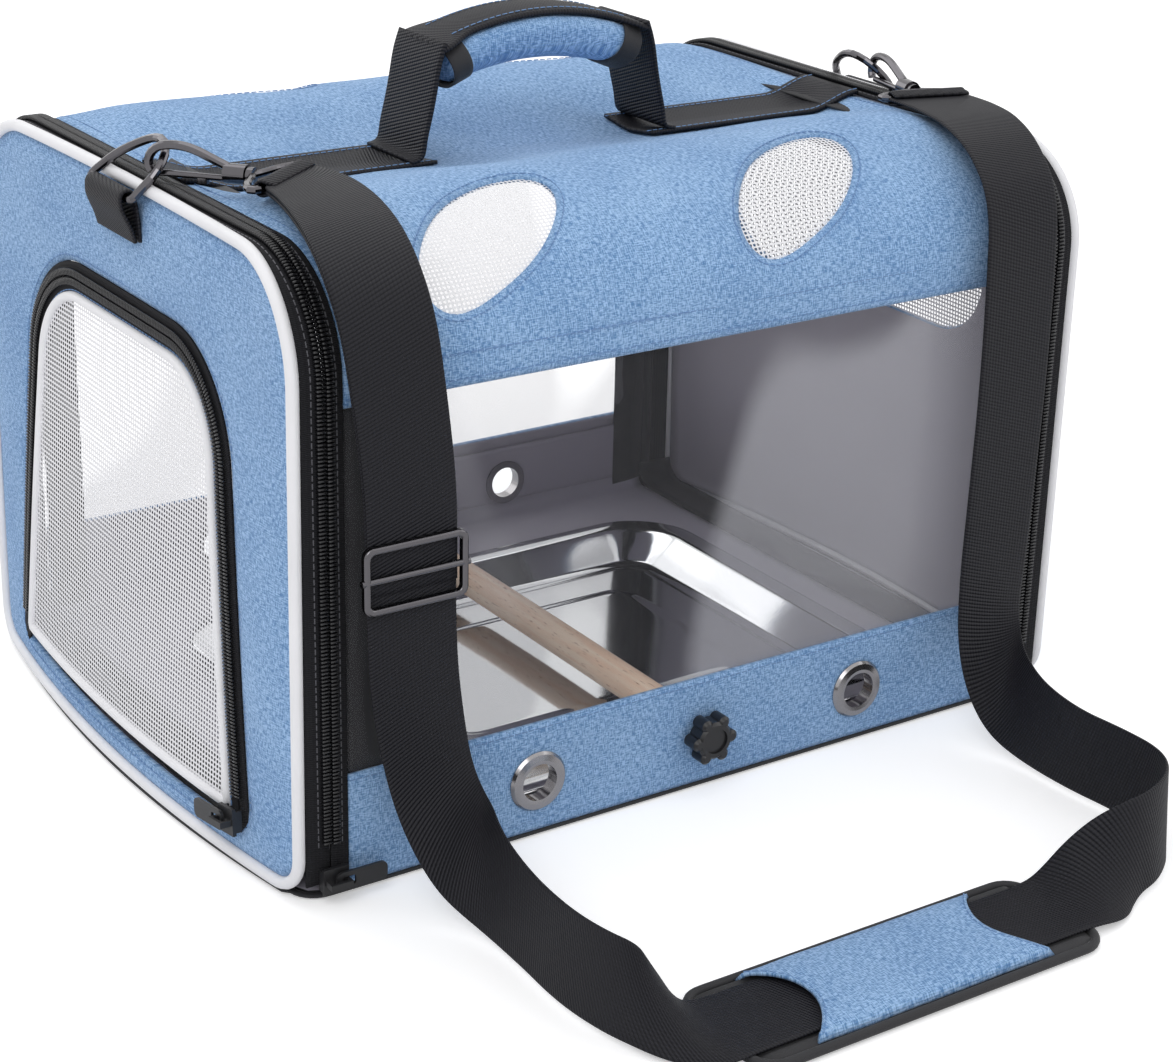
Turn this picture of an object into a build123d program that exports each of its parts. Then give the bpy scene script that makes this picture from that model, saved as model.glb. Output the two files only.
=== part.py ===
from build123d import *
from math import atan2, cos, degrees, hypot, radians, sin, sqrt
import os

# Soft-sided travel carrier for a bird: a fabric box with clear front and back windows, a zipped
# panel at each end, a steel tray, a wooden perch, a carrying handle and a shoulder strap.
# Millimetres. X runs along the carrier, -Y is its front, +Z is up, and it stands on Z = 0.

# ---- driving dimensions ------------------------------------------------------------------

# carrier body
half_length = 189  # middle to the outer face of an end panel, at its front and back edges
half_width = 145  # middle to the outer face of the front or back
height = 251  # top of the end panels
mesh_slider_lift = 0.7  # room under the mesh door's slider for the panel's curve
top_radius = 44  # rounded top corners of the end panels
foot_radius = 14  # rounded bottom corners of the end panels
fabric = 2.4  # padded outer fabric
running_gap = 0.4  # between parts that move past each other
seat_gap = 0.2  # between sewn parts that lie on each other
gusset = 13  # end panel's depth, from its outer face to the line of its zip
zip_web = 8  # from the zip's line in to where the roof and walls stop
zip_line = half_length - gusset
body_end = zip_line - zip_web

# roof: two padded rolls with a valley between them
valley_z = height - 9
roll_y = half_width - 68
roll_z = height + 6
roll_foot_y = 37
roll_foot_z = height - 3
shoulder_y = half_width - 30
shoulder_z = height - 3
brow_y = half_width - 7
brow_z = height - 23
window_top = height - 54
band_top = 50

# floor
base_fabric = 1.8
base_board = 2.6
foot_bow = 14  # how far the foot of an end panel bows out
lining = 1.0
binding = 3.2  # black edge of the base

# clear windows
window_sheet = 0.8
window_lap = 6

# zips
tape = 1.0
coil_height = 2.4
coil_half = 3.4
zip_parting = 0.6
slider_length = 11

# end panels
panel = 3.0
piping_radius = 2.4
piping_in = 1.2  # piping's centre line in from the end outline
top_lean = -6  # how far the top edge of an end panel leans in
mesh_sheet = 0.8

# mesh door in the left end panel
door_half_foot = 106
door_half_top = 84
door_top = height - 52
door_radius = 46
door_hem = 9  # bottom of the mesh door above the panel's piping
zip_strip = 12  # from the mesh door's edge to the outer edge of its zip

# mesh window in the right end panel
view_half = 92
view_bottom = height - 101
view_top = height - 35
view_radius = 30

# eyelets
eyelet_x = 82
eyelet_z = 24.5
eyelet_bore = 8
eyelet_rim = 13
eyelet_flange = 0.9

# perch and its knobs
perch_radius = 7.25
stud_radius = 3
knob_radius = 10.5
knob_lobes = 6
knob_height = 9
knob_collar = 5.5

# tray
tray_x = body_end - 31
tray_front = 7 - half_width
tray_back = half_width - 60
tray_corner = 34
tray_rim = 11
tray_wall_run = 19
tray_sheet = 0.8
tray_rim_z = 16.6
tray_step = 30
tray_rise = 1.0

# webbing
webbing = 38
webbing_thick = 1.6

# carrying handle
handle_x = 64
handle_top = valley_z + 50
handle_pad_radius = 11.5
handle_pad_wide = 17
handle_pad_half = 46
handle_fold = 50

# strap fittings
ring_wire = 1.75
ring_width = 40
ring_depth = 27
ring_bar_out = 6.5  # bar's centre outside the end panel's face
ring_bar_z = height - 4
ring_lean = 47  # bow's rise from upright, leaning in over the roof
ring_skew = 0.35  # how far each bow is drawn towards the front by its strap
hook_wire = 1.8
jaw_reach = 27  # barrel's front face to the ring wire
barrel_radius = 3.9
barrel_length = 9
eye_half = 20.5
eye_wire = 1.6
bolt_travel = 6

# buckle and shoulder pad
buckle_wire = 1.7
buckle_height = 27
buckle_z = 135
pad_length = 165
pad_width = 56
pad_centre = (-26, -302)

wire_sides = 10
roof_steps = 14  # straight lengths in each half of the roof's line
leaf_steps = 24

piping_z = base_fabric + running_gap + piping_radius  # piping's centre line along the foot

os.makedirs("parts", exist_ok=True)
pieces = []


def finish(piece, label):
    """Write one piece, a builder's part or a compound of solids, to its own file."""
    part = getattr(piece, "part", piece)
    part.label = label
    export_step(part, f"parts/{label}.step")
    pieces.append(part)
    print(label, len(part.solids()), round(part.volume))


# ---- outlines ------------------------------------------------------------------------------


def arch(inset, bottom=0.0):
    """End outline of the carrier, drawn in its local plane, moved in by inset and open to the floor."""
    top = height - inset
    with BuildSketch(Plane.XY, mode=Mode.PRIVATE) as outline:
        with Locations((0, bottom)):
            Rectangle(2 * (half_width - inset), top - bottom, align=(Align.CENTER, Align.MIN))
        fillet(outline.vertices().group_by(Axis.Y)[-1], top_radius - inset)
    return outline.sketch


def hoop(outer, inner, bottom):
    """Band that follows the end outline up the front, over the top and down the back."""
    return arch(outer, bottom) - arch(inner, bottom - 1)


def panel_outline(inset):
    """End panel's rounded edge line, moved in by inset from the line its piping follows."""
    side = half_width - piping_in - inset
    foot = piping_z + inset
    with BuildSketch(Plane.XY, mode=Mode.PRIVATE) as outline:
        with Locations((0, foot)):
            Rectangle(2 * side, height - piping_in - inset - foot, align=(Align.CENTER, Align.MIN))
        fillet(outline.vertices().group_by(Axis.Y)[-1], top_radius - piping_in - inset)
        fillet(outline.vertices().group_by(Axis.Y)[0], max(foot_radius - inset, 2))
    return outline.sketch


def door_outline(inset):
    """Mesh door: a tapered arch that stands on its hinge seam."""
    foot = piping_z + piping_radius + door_hem
    with BuildSketch(Plane.XY, mode=Mode.PRIVATE) as outline:
        with BuildLine():
            Polyline(
                (-door_half_foot + inset, foot + inset),
                (-door_half_top + inset, door_top - inset),
                (door_half_top - inset, door_top - inset),
                (door_half_foot - inset, foot + inset),
                close=True,
            )
        make_face()
        fillet(outline.vertices().group_by(Axis.Y)[-1], max(door_radius - inset, 2))
        fillet(outline.vertices().group_by(Axis.Y)[0], max(6 - inset, 0.8))
    return outline.sketch


def view_outline(inset):
    """Mesh window of the right end panel."""
    with BuildSketch(Plane.XY, mode=Mode.PRIVATE) as outline:
        with Locations((0, (view_bottom + view_top) / 2)):
            RectangleRounded(
                2 * (view_half - inset), view_top - view_bottom - 2 * inset, view_radius - inset
            )
    return outline.sketch


def roof_outline(inset, floor):
    """Area under the roof's line, moved in by inset, down to floor."""
    side = half_width - inset
    with BuildSketch(Plane.XY, mode=Mode.PRIVATE) as outline:
        with BuildLine():
            line = Spline(
                (-side, window_top + 2),
                (-(brow_y - 0.85 * inset), brow_z - 0.5 * inset),
                (-(shoulder_y - 0.5 * inset), shoulder_z - 0.87 * inset),
                (-roll_y, roll_z - inset),
                (-roll_foot_y, roll_foot_z - inset),
                (0, valley_z - inset),
                tangents=[(0, 1), (1, 0)],
                tangent_scalars=[1, 1],
                mode=Mode.PRIVATE,
            )
            Polyline(*[line @ (step / roof_steps) for step in range(roof_steps + 1)])
            Polyline((-side, window_top + 2), (-side, floor), (0, floor))
            mirror(about=Plane.YZ)
        make_face()
    return outline.sketch


def leaf():
    """Roof vent: a slanting leaf, rounded at both ends."""
    with BuildSketch(Plane.XY, mode=Mode.PRIVATE) as outline:
        with BuildLine():
            line = Spline(
                (33, 32), (38, 18), (18, -10), (-8, -26), (-30, -31), (-38, -19), (-24, 7), (4, 27),
                periodic=True, mode=Mode.PRIVATE,
            )
            Polyline(*[line @ (step / leaf_steps) for step in range(leaf_steps)], close=True)
        make_face()
    return outline.sketch


def base_outline(inset):
    """Plan of the base: straight front and back, ends bowed out under the end panels."""
    end = half_length - inset
    side = half_width - inset
    with BuildSketch(Plane.XY, mode=Mode.PRIVATE) as outline:
        with BuildLine():
            Line((-end, -side), (end, -side))
            ThreePointArc((end, -side), (end + foot_bow, 0), (end, side))
            Line((end, side), (-end, side))
            ThreePointArc((-end, side), (-end - foot_bow, 0), (-end, -side))
        make_face()
        fillet(outline.vertices(), 12 - inset)
    return outline.sketch


def crowned(hand, inner, outer):
    """Slab between two depths in from an end panel's face, leaning in at the top, bowed out at the foot."""
    reach = half_width + 6

    def slab(at_z, bow):
        a, b = half_length - inner, half_length - outer
        with BuildSketch(Plane.XY.offset(at_z), mode=Mode.PRIVATE) as section:
            with BuildLine():
                Line((hand * a, -reach), (hand * b, -reach))
                ThreePointArc((hand * b, -reach), (hand * (b + bow), 0), (hand * b, reach))
                Line((hand * b, reach), (hand * a, reach))
                ThreePointArc((hand * a, reach), (hand * (a + bow), 0), (hand * a, -reach))
            make_face()
        return section.sketch

    return loft([slab(0, foot_bow), slab(height + 8, top_lean)], ruled=True, mode=Mode.PRIVATE)


def shell(hand, outline, inner, outer):
    """Part of an end wall: an outline cut from the crowned slab between two depths."""
    with BuildPart() as piece:
        with BuildSketch(Plane.YZ.offset(hand * (half_length - 30))):
            add(outline)
        extrude(amount=hand * (foot_bow + 50))
        add(crowned(hand, inner, outer), mode=Mode.INTERSECT)
    return piece


def face_x(y, z):
    """How far out an end panel's face is at a height and a distance from its middle."""
    reach = half_width + 6
    bow = foot_bow + (top_lean - foot_bow) * z / (height + 8)
    return half_length + bow * (1 - (y / reach) ** 2)


def wire_along(stations, radius, side, sides=wire_sides):
    """Round wire in short straight lengths: (point, direction) at each station, side is square to the bends."""
    with BuildPart() as piece:
        for spot, ahead in stations:
            with BuildSketch(Plane(origin=spot, x_dir=side, z_dir=ahead)):
                RegularPolygon(radius, sides)
        loft(ruled=True)
    return piece


def stations_on(line, count):
    return [(line @ (step / count), line % (step / count)) for step in range(count + 1)]


def rod(points, radius, side, count=14):
    """Round wire through points."""
    line = Edge.make_spline([Vector(*p) for p in points])
    return wire_along(stations_on(line, count), radius, side)


# ---- base, lining and walls -------------------------------------------------------------------

with BuildPart() as base:
    with BuildSketch():
        add(base_outline(binding + seat_gap))
    extrude(amount=base_fabric)
finish(base, "base_fabric")

with BuildPart() as edge_binding:
    with BuildSketch():
        add(base_outline(0))
        add(base_outline(binding), mode=Mode.SUBTRACT)
    extrude(amount=base_fabric)
finish(edge_binding, "bottom_binding")

board_z = base_fabric + seat_gap
with BuildPart() as board:
    with BuildSketch(Plane.XY.offset(board_z)):
        RectangleRounded(2 * (body_end - 2), 2 * (half_width - fabric - 3), 10)
    extrude(amount=base_board)
finish(board, "base_board")

lining_z = board_z + base_board + seat_gap
lining_side = half_width - fabric - seat_gap
with BuildPart() as liner:
    with BuildSketch(Plane.XY.offset(lining_z)):
        Rectangle(2 * (body_end - 1), 2 * lining_side)
    extrude(amount=lining)
    with BuildSketch(Plane.XY.offset(lining_z)):
        with Locations((0, lining_side - lining / 2), (0, -lining_side + lining / 2)):
            Rectangle(2 * (body_end - 1), lining)
    extrude(amount=band_top - window_lap - lining_z - 1)
    with BuildSketch(Plane.XZ.offset(-half_width)):
        with Locations((-eyelet_x, eyelet_z), (eyelet_x, eyelet_z)):
            Circle(eyelet_bore + eyelet_flange + seat_gap)
        with Locations((0, eyelet_z)):
            Circle(stud_radius + running_gap)
    extrude(amount=2 * half_width, mode=Mode.SUBTRACT)
finish(liner, "floor_lining")


def lower_band(face):
    """Fabric band under a window, with its eyelet and knob holes. face is -1 at the front, 1 at the back."""
    outer = Plane.XZ.offset(-face * half_width)
    with BuildPart() as band:
        with BuildSketch(outer):
            with Locations((0, base_fabric + seat_gap)):
                Rectangle(
                    2 * body_end, band_top - base_fabric - seat_gap, align=(Align.CENTER, Align.MIN)
                )
            with Locations((-eyelet_x, eyelet_z), (eyelet_x, eyelet_z)):
                Circle(eyelet_bore + eyelet_flange + seat_gap, mode=Mode.SUBTRACT)
            with Locations((0, eyelet_z)):
                Circle(stud_radius + running_gap, mode=Mode.SUBTRACT)
        extrude(amount=face * fabric)
    return band


finish(lower_band(-1), "front_lower_band")
finish(lower_band(1), "back_lower_band")


def window(face):
    """Clear sheet behind the roof's hem and the lower band."""
    depth = half_width - fabric - seat_gap
    with BuildPart() as sheet:
        with BuildSketch(Plane.XZ.offset(-face * depth)):
            with Locations((0, band_top - window_lap)):
                Rectangle(
                    2 * body_end,
                    window_top - band_top + window_lap + 1.5,
                    align=(Align.CENTER, Align.MIN),
                )
        extrude(amount=face * window_sheet)
    return sheet


finish(window(-1), "front_window")
finish(window(1), "back_window")

# ---- roof -------------------------------------------------------------------------------------

vent_x = (-90, 56)
vent_y = shoulder_y + 1
vent_z = shoulder_z - 7
vent_slope = 42
vent_wide = 88  # patch of mesh behind a vent, along the roof
vent_deep = 76


def vent_plane(x, face):
    """Plane of a roof vent on the front (-1) or back (1) roll."""
    tilt = radians(vent_slope)
    return Plane(
        origin=(x, face * vent_y, vent_z), x_dir=(1, 0, 0), z_dir=(0, face * sin(tilt), cos(tilt))
    )


vent_planes = [vent_plane(x, face) for face in (-1, 1) for x in vent_x]
roof_section = roof_outline(0, window_top) - roof_outline(fabric, window_top - 1)
with BuildPart() as roof:
    with BuildSketch(Plane.YZ.offset(-body_end)):
        add(roof_section)
    extrude(amount=2 * body_end)
    for place in vent_planes:
        flip = place.z_dir.Y > 0
        with BuildSketch(place):
            add(mirror(leaf(), about=Plane.XZ) if flip else leaf())
        extrude(amount=24, both=True, mode=Mode.SUBTRACT)
finish(roof, "roof")

mesh_section = roof_outline(fabric + seat_gap, window_top) - roof_outline(
    fabric + seat_gap + mesh_sheet, window_top - 1
)


def vent_mesh(x, face):
    """Mesh sewn under a vent, a little larger than its hole."""
    with BuildPart() as patch:
        with BuildSketch(Plane.YZ.offset(x - vent_wide / 2 - 2)):
            add(mesh_section)
            with Locations((face * half_width, window_top)):
                Rectangle(2 * (half_width - roll_foot_y), 2 * roll_z, mode=Mode.INTERSECT)
        extrude(amount=vent_wide + 4)
        with BuildSketch(vent_plane(x, face).offset(-24)):
            RectangleRounded(vent_wide, vent_deep, 22)
        extrude(amount=48, mode=Mode.INTERSECT)
    return patch.part.solid()


finish(Compound(children=[vent_mesh(x, face) for face in (-1, 1) for x in vent_x]), "roof_vent_mesh")

# ---- end zips: the half that stays on the body ------------------------------------------------

band_foot = base_fabric + seat_gap


def body_tape(hand):
    """Zip tape sewn round the end of the body, with the web that closes the roof's valley."""
    start = zip_line - zip_parting / 2
    with BuildPart() as strip:
        with BuildSketch(Plane.YZ.offset(hand * body_end + hand * seat_gap)):
            add(hoop(0, fabric, band_foot))
            add(arch(fabric, window_top) - roof_outline(fabric, window_top - 1))
        extrude(amount=hand * 1.6)
        with BuildSketch(Plane.YZ.offset(hand * body_end + hand * seat_gap)):
            add(hoop(0, tape, band_foot))
        extrude(amount=hand * (start - body_end - seat_gap))
    return strip


def coil(hand, start, amount):
    """Half of an end zip's coil, standing proud of its tape."""
    with BuildPart() as teeth:
        with BuildSketch(Plane.YZ.offset(hand * start)):
            add(hoop(-coil_height - seat_gap, -seat_gap, coil_foot))
        extrude(amount=hand * amount)
    return teeth


coil_foot = 24
for hand, side in ((-1, "left"), (1, "right")):
    finish(body_tape(hand), f"{side}_body_tape")
    finish(
        coil(hand, zip_line - zip_parting / 2 - coil_half, coil_half), f"{side}_body_coil"
    )

# ---- end panels -------------------------------------------------------------------------------

panel_edge = piping_radius + seat_gap
butt = 0.1
door_tape_start = zip_line + zip_parting / 2


def welt_line():
    """Half of the line that an end panel's piping follows, from the middle of its foot to the middle of its top."""
    side, top = half_width - piping_in, height - piping_in
    low, high = foot_radius, top_radius - piping_in
    line = [((side - low) * step / 7, piping_z) for step in range(8)]
    for step in range(1, 9):
        turn = radians(90 * step / 8)
        line.append((side - low + low * sin(turn), piping_z + low - low * cos(turn)))
    for step in range(13):
        turn = radians(90 * step / 12)
        line.append((side - high + high * cos(turn), top - high + high * sin(turn)))
    line += [((side - high) * (1 - step / 5), top) for step in range(1, 6)]
    return line


def piping(hand):
    """Welt sewn round an end panel's edge in two lengths, butted at the top and at the foot."""
    halves = []
    for way in (1, -1):
        line = [
            Vector(hand * (face_x(y, z) - piping_radius / 2), way * (y + butt / 2), z) for y, z in welt_line()
        ]
        stations = []
        for i, spot in enumerate(line):
            ahead = line[min(i + 1, len(line) - 1)] - line[max(i - 1, 0)]
            if i in (0, len(line) - 1):
                ahead = Vector(0, ahead.Y, 0)
            stations.append((spot, ahead.normalized()))
        halves.append(wire_along(stations, piping_radius, (1, 0, 0), 8).part.solid())
    return Compound(children=halves)


def door_tape(hand):
    """Zip tape from the parting line to an end panel's piping."""
    with BuildPart() as strip:
        with BuildSketch(Plane.YZ.offset(hand * door_tape_start)):
            add(hoop(0, tape, piping_z + piping_radius + seat_gap))
        extrude(amount=hand * 30)
        add(crowned(hand, piping_radius * 1.5 + seat_gap, -60), mode=Mode.SUBTRACT)
    return strip


for hand, side in ((-1, "left"), (1, "right")):
    finish(piping(hand), f"{side}_piping")
    finish(door_tape(hand), f"{side}_door_tape")
    finish(coil(hand, door_tape_start, coil_half), f"{side}_door_coil")

mesh_door_foot = piping_z + piping_radius + door_hem


def above(outline, foot):
    """The part of an outline above a height."""
    with BuildSketch(Plane.XY, mode=Mode.PRIVATE) as upper:
        with Locations((0, foot)):
            Rectangle(3 * half_width, 2 * height, align=(Align.CENTER, Align.MIN))
    return outline & upper.sketch


zip_hole = above(door_outline(-zip_strip / 2), mesh_door_foot - running_gap)
finish(shell(-1, panel_outline(panel_edge) - zip_hole, panel, 0), "left_panel")
finish(shell(1, panel_outline(panel_edge) - view_outline(0), panel, 0), "right_panel")
finish(shell(1, view_outline(seat_gap), panel - 1, panel - 1 - mesh_sheet), "right_window_mesh")

# mesh door: its own half of the zip, its piped rim and the mesh itself


def ring(outer, inner):
    return door_outline(outer) - door_outline(inner)


mesh_zip_foot = mesh_door_foot + slider_length + 2
mesh_tape = 6
frame_zip = above(ring(-zip_strip / 2 + seat_gap, -zip_parting / 2), mesh_door_foot)
finish(shell(-1, frame_zip, panel - 0.4, 1), "mesh_zip_frame")
with BuildPart() as door_zip:
    add(shell(-1, ring(zip_parting / 2, mesh_tape), 1.6, 0.6).part)
    add(shell(-1, above(ring(zip_parting / 2, coil_half), mesh_zip_foot), 0.6, -1.4).part)
finish(door_zip, "mesh_zip_door")
finish(shell(-1, ring(mesh_tape + seat_gap, mesh_tape + 4.2), 2.6, -1.2), "door_rim")
finish(shell(-1, door_outline(mesh_tape + 4.4), 1.4, 1.4 - mesh_sheet), "door_mesh")

# ---- zip sliders --------------------------------------------------------------------------------

slider_plate = 1.6
slider_clear = 0.5
slider_z = 4
pull_length = 22
pull_width = 8
pull_thick = 1.2
loop_wire = 1.4
loop_half = 4
loop_height = 3.6
slider_top = coil_height + seat_gap + slider_clear + slider_plate
pull_level = slider_top + 1.7


def slider(place):
    """Zip slider over a coil: X across the zip, Y along it, Z away from it; it starts at the origin."""
    across = 2 * coil_half + zip_parting + 2 * slider_clear
    middle = slider_length / 2
    with BuildPart(place) as body:
        with Locations((0, middle, slider_top)):
            Box(across + 2.4, slider_length, slider_plate, align=(Align.CENTER, Align.CENTER, Align.MAX))
        with Locations((-across / 2 - 0.6, middle, slider_top), (across / 2 + 0.6, middle, slider_top)):
            Box(
                1.2,
                slider_length * 0.8,
                slider_top - seat_gap - 0.3,
                align=(Align.CENTER, Align.CENTER, Align.MAX),
            )
        with Locations((-loop_half, middle, slider_top), (loop_half, middle, slider_top)):
            Box(loop_wire, 2.4, loop_height, align=(Align.CENTER, Align.CENTER, Align.MIN))
        with Locations((0, middle, slider_top + loop_height)):
            Box(
                2 * loop_half + loop_wire,
                2.4,
                loop_wire,
                align=(Align.CENTER, Align.CENTER, Align.MIN),
            )
    return body


def pull_tab(place, turn):
    """Flat pull threaded through its slider's loop, turned about the slider's outward axis."""
    start = Plane(place.location * Location((0, slider_length / 2, pull_level)) * Rotation(0, 0, turn))
    with BuildPart() as tab:
        with BuildSketch(start):
            with Locations((pull_length / 2 - 1, 0)):
                RectangleRounded(pull_length, pull_width, 2.6)
            with Locations((3.9, 0)):
                RectangleRounded(6.6, 3.8, 0.9, mode=Mode.SUBTRACT)
        extrude(amount=pull_thick / 2, both=True)
    return tab


left_zip = Plane(origin=(-zip_line, -half_width, slider_z), x_dir=(1, 0, 0), z_dir=(0, -1, 0))
right_zip = Plane(origin=(zip_line, half_width, slider_z), x_dir=(-1, 0, 0), z_dir=(0, 1, 0))

# the mesh door's slider runs along the straight front side of its zip
mesh_run = 120
mesh_lean = (door_half_foot - door_half_top) / (door_top - mesh_door_foot)
mesh_low = (mesh_door_foot + 0.5, -door_half_foot + mesh_lean * 0.5)
mesh_high = (mesh_low[0] + mesh_run, mesh_low[1] + mesh_lean * mesh_run)
low_point = Vector(-face_x(mesh_low[1], mesh_low[0]), mesh_low[1], mesh_low[0])
high_point = Vector(-face_x(mesh_high[1], mesh_high[0]), mesh_high[1], mesh_high[0])
mesh_along = (high_point - low_point).normalized()
mesh_out = Vector(-1, -0.06, 0).cross(mesh_along).cross(mesh_along).normalized() * -1
mesh_zip = Plane(
    origin=low_point + mesh_out * mesh_slider_lift, x_dir=mesh_along.cross(mesh_out), z_dir=mesh_out
)
print("mesh slider runs along", mesh_along)

for zip_place in (left_zip, right_zip, mesh_zip):
    pin = zip_place.from_local_coords((0, slider_length / 2, pull_level))
    print("pull pin", pin, "zip runs", zip_place.y_dir, "outward", zip_place.z_dir)

finish(slider(left_zip), "left_slider")
finish(slider(right_zip), "right_slider")
finish(slider(mesh_zip), "mesh_slider")
finish(pull_tab(left_zip, 0), "left_pull")
finish(pull_tab(right_zip, 0), "right_pull")
finish(pull_tab(mesh_zip, 180), "mesh_pull")

# ---- eyelets, perch and knobs -----------------------------------------------------------------

wall_inside = half_width - fabric - seat_gap - lining


def eyelet_pair(face):
    """Metal eyelets through the lower band and the lining: rolled face ring, barrel, back washer."""
    deep = half_width - wall_inside
    with BuildPart() as pair:
        for x in (-eyelet_x, eyelet_x):
            level = Plane(origin=(x, face * half_width, eyelet_z), x_dir=(1, 0, 0), z_dir=(0, face, 0))
            with BuildSketch(Plane(origin=level.origin, x_dir=(1, 0, 0), z_dir=(0, 0, 1))) as half:
                with BuildLine():
                    Polyline(
                        (eyelet_bore, face * (eyelet_flange + 0.7)),
                        (eyelet_bore + 1.6, face * (eyelet_flange + 1.0)),
                        (eyelet_rim - 1, face * (eyelet_flange + 0.5)),
                        (eyelet_rim, face * seat_gap),
                        (eyelet_bore + eyelet_flange, face * seat_gap),
                        (eyelet_bore + eyelet_flange, -face * (deep + seat_gap)),
                        (eyelet_rim - 1.5, -face * (deep + seat_gap)),
                        (eyelet_rim - 1.5, -face * (deep + seat_gap + 0.6)),
                        (eyelet_bore, -face * (deep + seat_gap + 0.6)),
                        close=True,
                    )
                make_face()
            revolve(axis=Axis((x, 0, eyelet_z), (0, 1, 0)))
    return pair


finish(eyelet_pair(-1), "front_eyelets")
finish(eyelet_pair(1), "back_eyelets")

perch_half = wall_inside - 0.4
insert_depth = 22
insert_wall = 1.6
with BuildPart() as rod_perch:
    with Locations((0, 0, eyelet_z)):
        Cylinder(perch_radius, 2 * perch_half, rotation=(90, 0, 0))
    with Locations((0, perch_half - insert_depth / 2, eyelet_z), (0, -perch_half + insert_depth / 2, eyelet_z)):
        Cylinder(
            stud_radius + running_gap + insert_wall + seat_gap / 2,
            insert_depth,
            rotation=(90, 0, 0),
            mode=Mode.SUBTRACT,
        )
    chamfer(rod_perch.edges().filter_by(GeomType.CIRCLE).group_by(SortBy.LENGTH)[-1], 0.8)
finish(rod_perch, "perch")

with BuildPart() as inserts:
    with Locations((0, perch_half - insert_depth / 2, eyelet_z), (0, -perch_half + insert_depth / 2, eyelet_z)):
        Cylinder(stud_radius + running_gap + insert_wall, insert_depth, rotation=(90, 0, 0))
        Cylinder(stud_radius + running_gap, insert_depth, rotation=(90, 0, 0), mode=Mode.SUBTRACT)
finish(inserts, "perch_inserts")


def knob(face):
    """Six-lobed knob with its collar and threaded stud."""
    out = Plane(origin=(0, face * (half_width + running_gap), eyelet_z), x_dir=(1, 0, 0), z_dir=(0, face, 0))
    waist = knob_radius * 0.8
    with BuildPart() as turned:
        with BuildSketch(out):
            Circle(knob_radius * 0.72)
        extrude(amount=1.2)
        with BuildSketch(out.offset(1.2)):
            Circle(waist)
            with PolarLocations(waist, knob_lobes):
                Circle(knob_radius * 0.26)
        extrude(amount=knob_height - 1.2)
        top = turned.faces().sort_by(Axis.Y)[0 if face < 0 else -1]
        chamfer(top.edges(), 1.2)
        with BuildSketch(out.offset(knob_height)):
            Circle(knob_collar, mode=Mode.ADD)
        extrude(amount=-1.0, mode=Mode.SUBTRACT)
        with BuildSketch(out):
            Circle(stud_radius)
        extrude(amount=-(half_width - perch_half + insert_depth - 4))
    return turned


finish(knob(-1), "front_knob")
finish(knob(1), "back_knob")

# ---- tray ---------------------------------------------------------------------------------------

tray_y = (tray_front + tray_back) / 2
tray_half_y = (tray_back - tray_front) / 2
tray_floor = lining_z + lining + 0.3


def tray_line(at_z, inset, radius):
    with BuildSketch(Plane.XY.offset(at_z), mode=Mode.PRIVATE) as line:
        with Locations((0, tray_y)):
            RectangleRounded(2 * (tray_x - inset), 2 * (tray_half_y - inset), radius)
    return line.sketch


rim_inner = tray_rim
wall_foot = tray_rim + tray_wall_run
rim_under = tray_rim_z - tray_sheet
with BuildPart() as pan:
    add(
        loft(
            [tray_line(tray_floor, wall_foot, 15), tray_line(rim_under, rim_inner, 27)],
            ruled=True,
            mode=Mode.PRIVATE,
        )
    )
    extrude(tray_line(rim_under, 0, tray_corner), amount=tray_sheet)
    add(
        loft(
            [
                tray_line(tray_floor + tray_sheet, wall_foot + 0.4, 14.6),
                tray_line(rim_under + 0.01, rim_inner + 1.1, 26),
            ],
            ruled=True,
            mode=Mode.PRIVATE,
        ),
        mode=Mode.SUBTRACT,
    )
    extrude(tray_line(rim_under, rim_inner + 1.1, 26), amount=tray_sheet + 0.1, mode=Mode.SUBTRACT)
    extrude(tray_line(tray_floor + tray_sheet, wall_foot + tray_step, 12), amount=tray_rise)
    extrude(
        tray_line(tray_floor + tray_sheet + tray_rise, wall_foot + 2 * tray_step, 8), amount=tray_rise
    )
    extrude(
        tray_line(rim_under - 1.4, 0, tray_corner) - tray_line(rim_under - 1.4, 0.7, tray_corner - 0.7),
        amount=1.4,
    )
finish(pan, "tray")

# ---- carrying handle ------------------------------------------------------------------------------

web_z = valley_z + 3.8
arc_rise = 9
arc_radius = (handle_pad_half**2 + arc_rise**2) / (2 * arc_rise)
arc_turn = degrees(2 * atan2(arc_rise, handle_pad_half))
grip_axis = Axis((0, 0, handle_top - arc_radius), (0, 1, 0))

with BuildPart() as roll:
    for way in (1, -1):
        with BuildSketch(Plane.YZ):
            with Locations((0, handle_top)):
                Ellipse(handle_pad_wide, handle_pad_radius)
            with Locations((0, handle_top + handle_pad_radius * 0.62)):
                Rectangle(60, 30, align=(Align.CENTER, Align.MIN), mode=Mode.SUBTRACT)
        revolve(axis=grip_axis, revolution_arc=way * arc_turn)
finish(roll, "handle_pad")

top_start = handle_top + handle_pad_radius * 0.62 + seat_gap
with BuildPart() as grip:
    for way in (1, -1):
        with BuildSketch(Plane.YZ):
            with Locations((0, top_start)):
                Rectangle(webbing, webbing_thick * 1.5, align=(Align.CENTER, Align.MIN))
        revolve(axis=grip_axis, revolution_arc=way * arc_turn)
finish(grip, "handle_grip_webbing")

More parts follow.
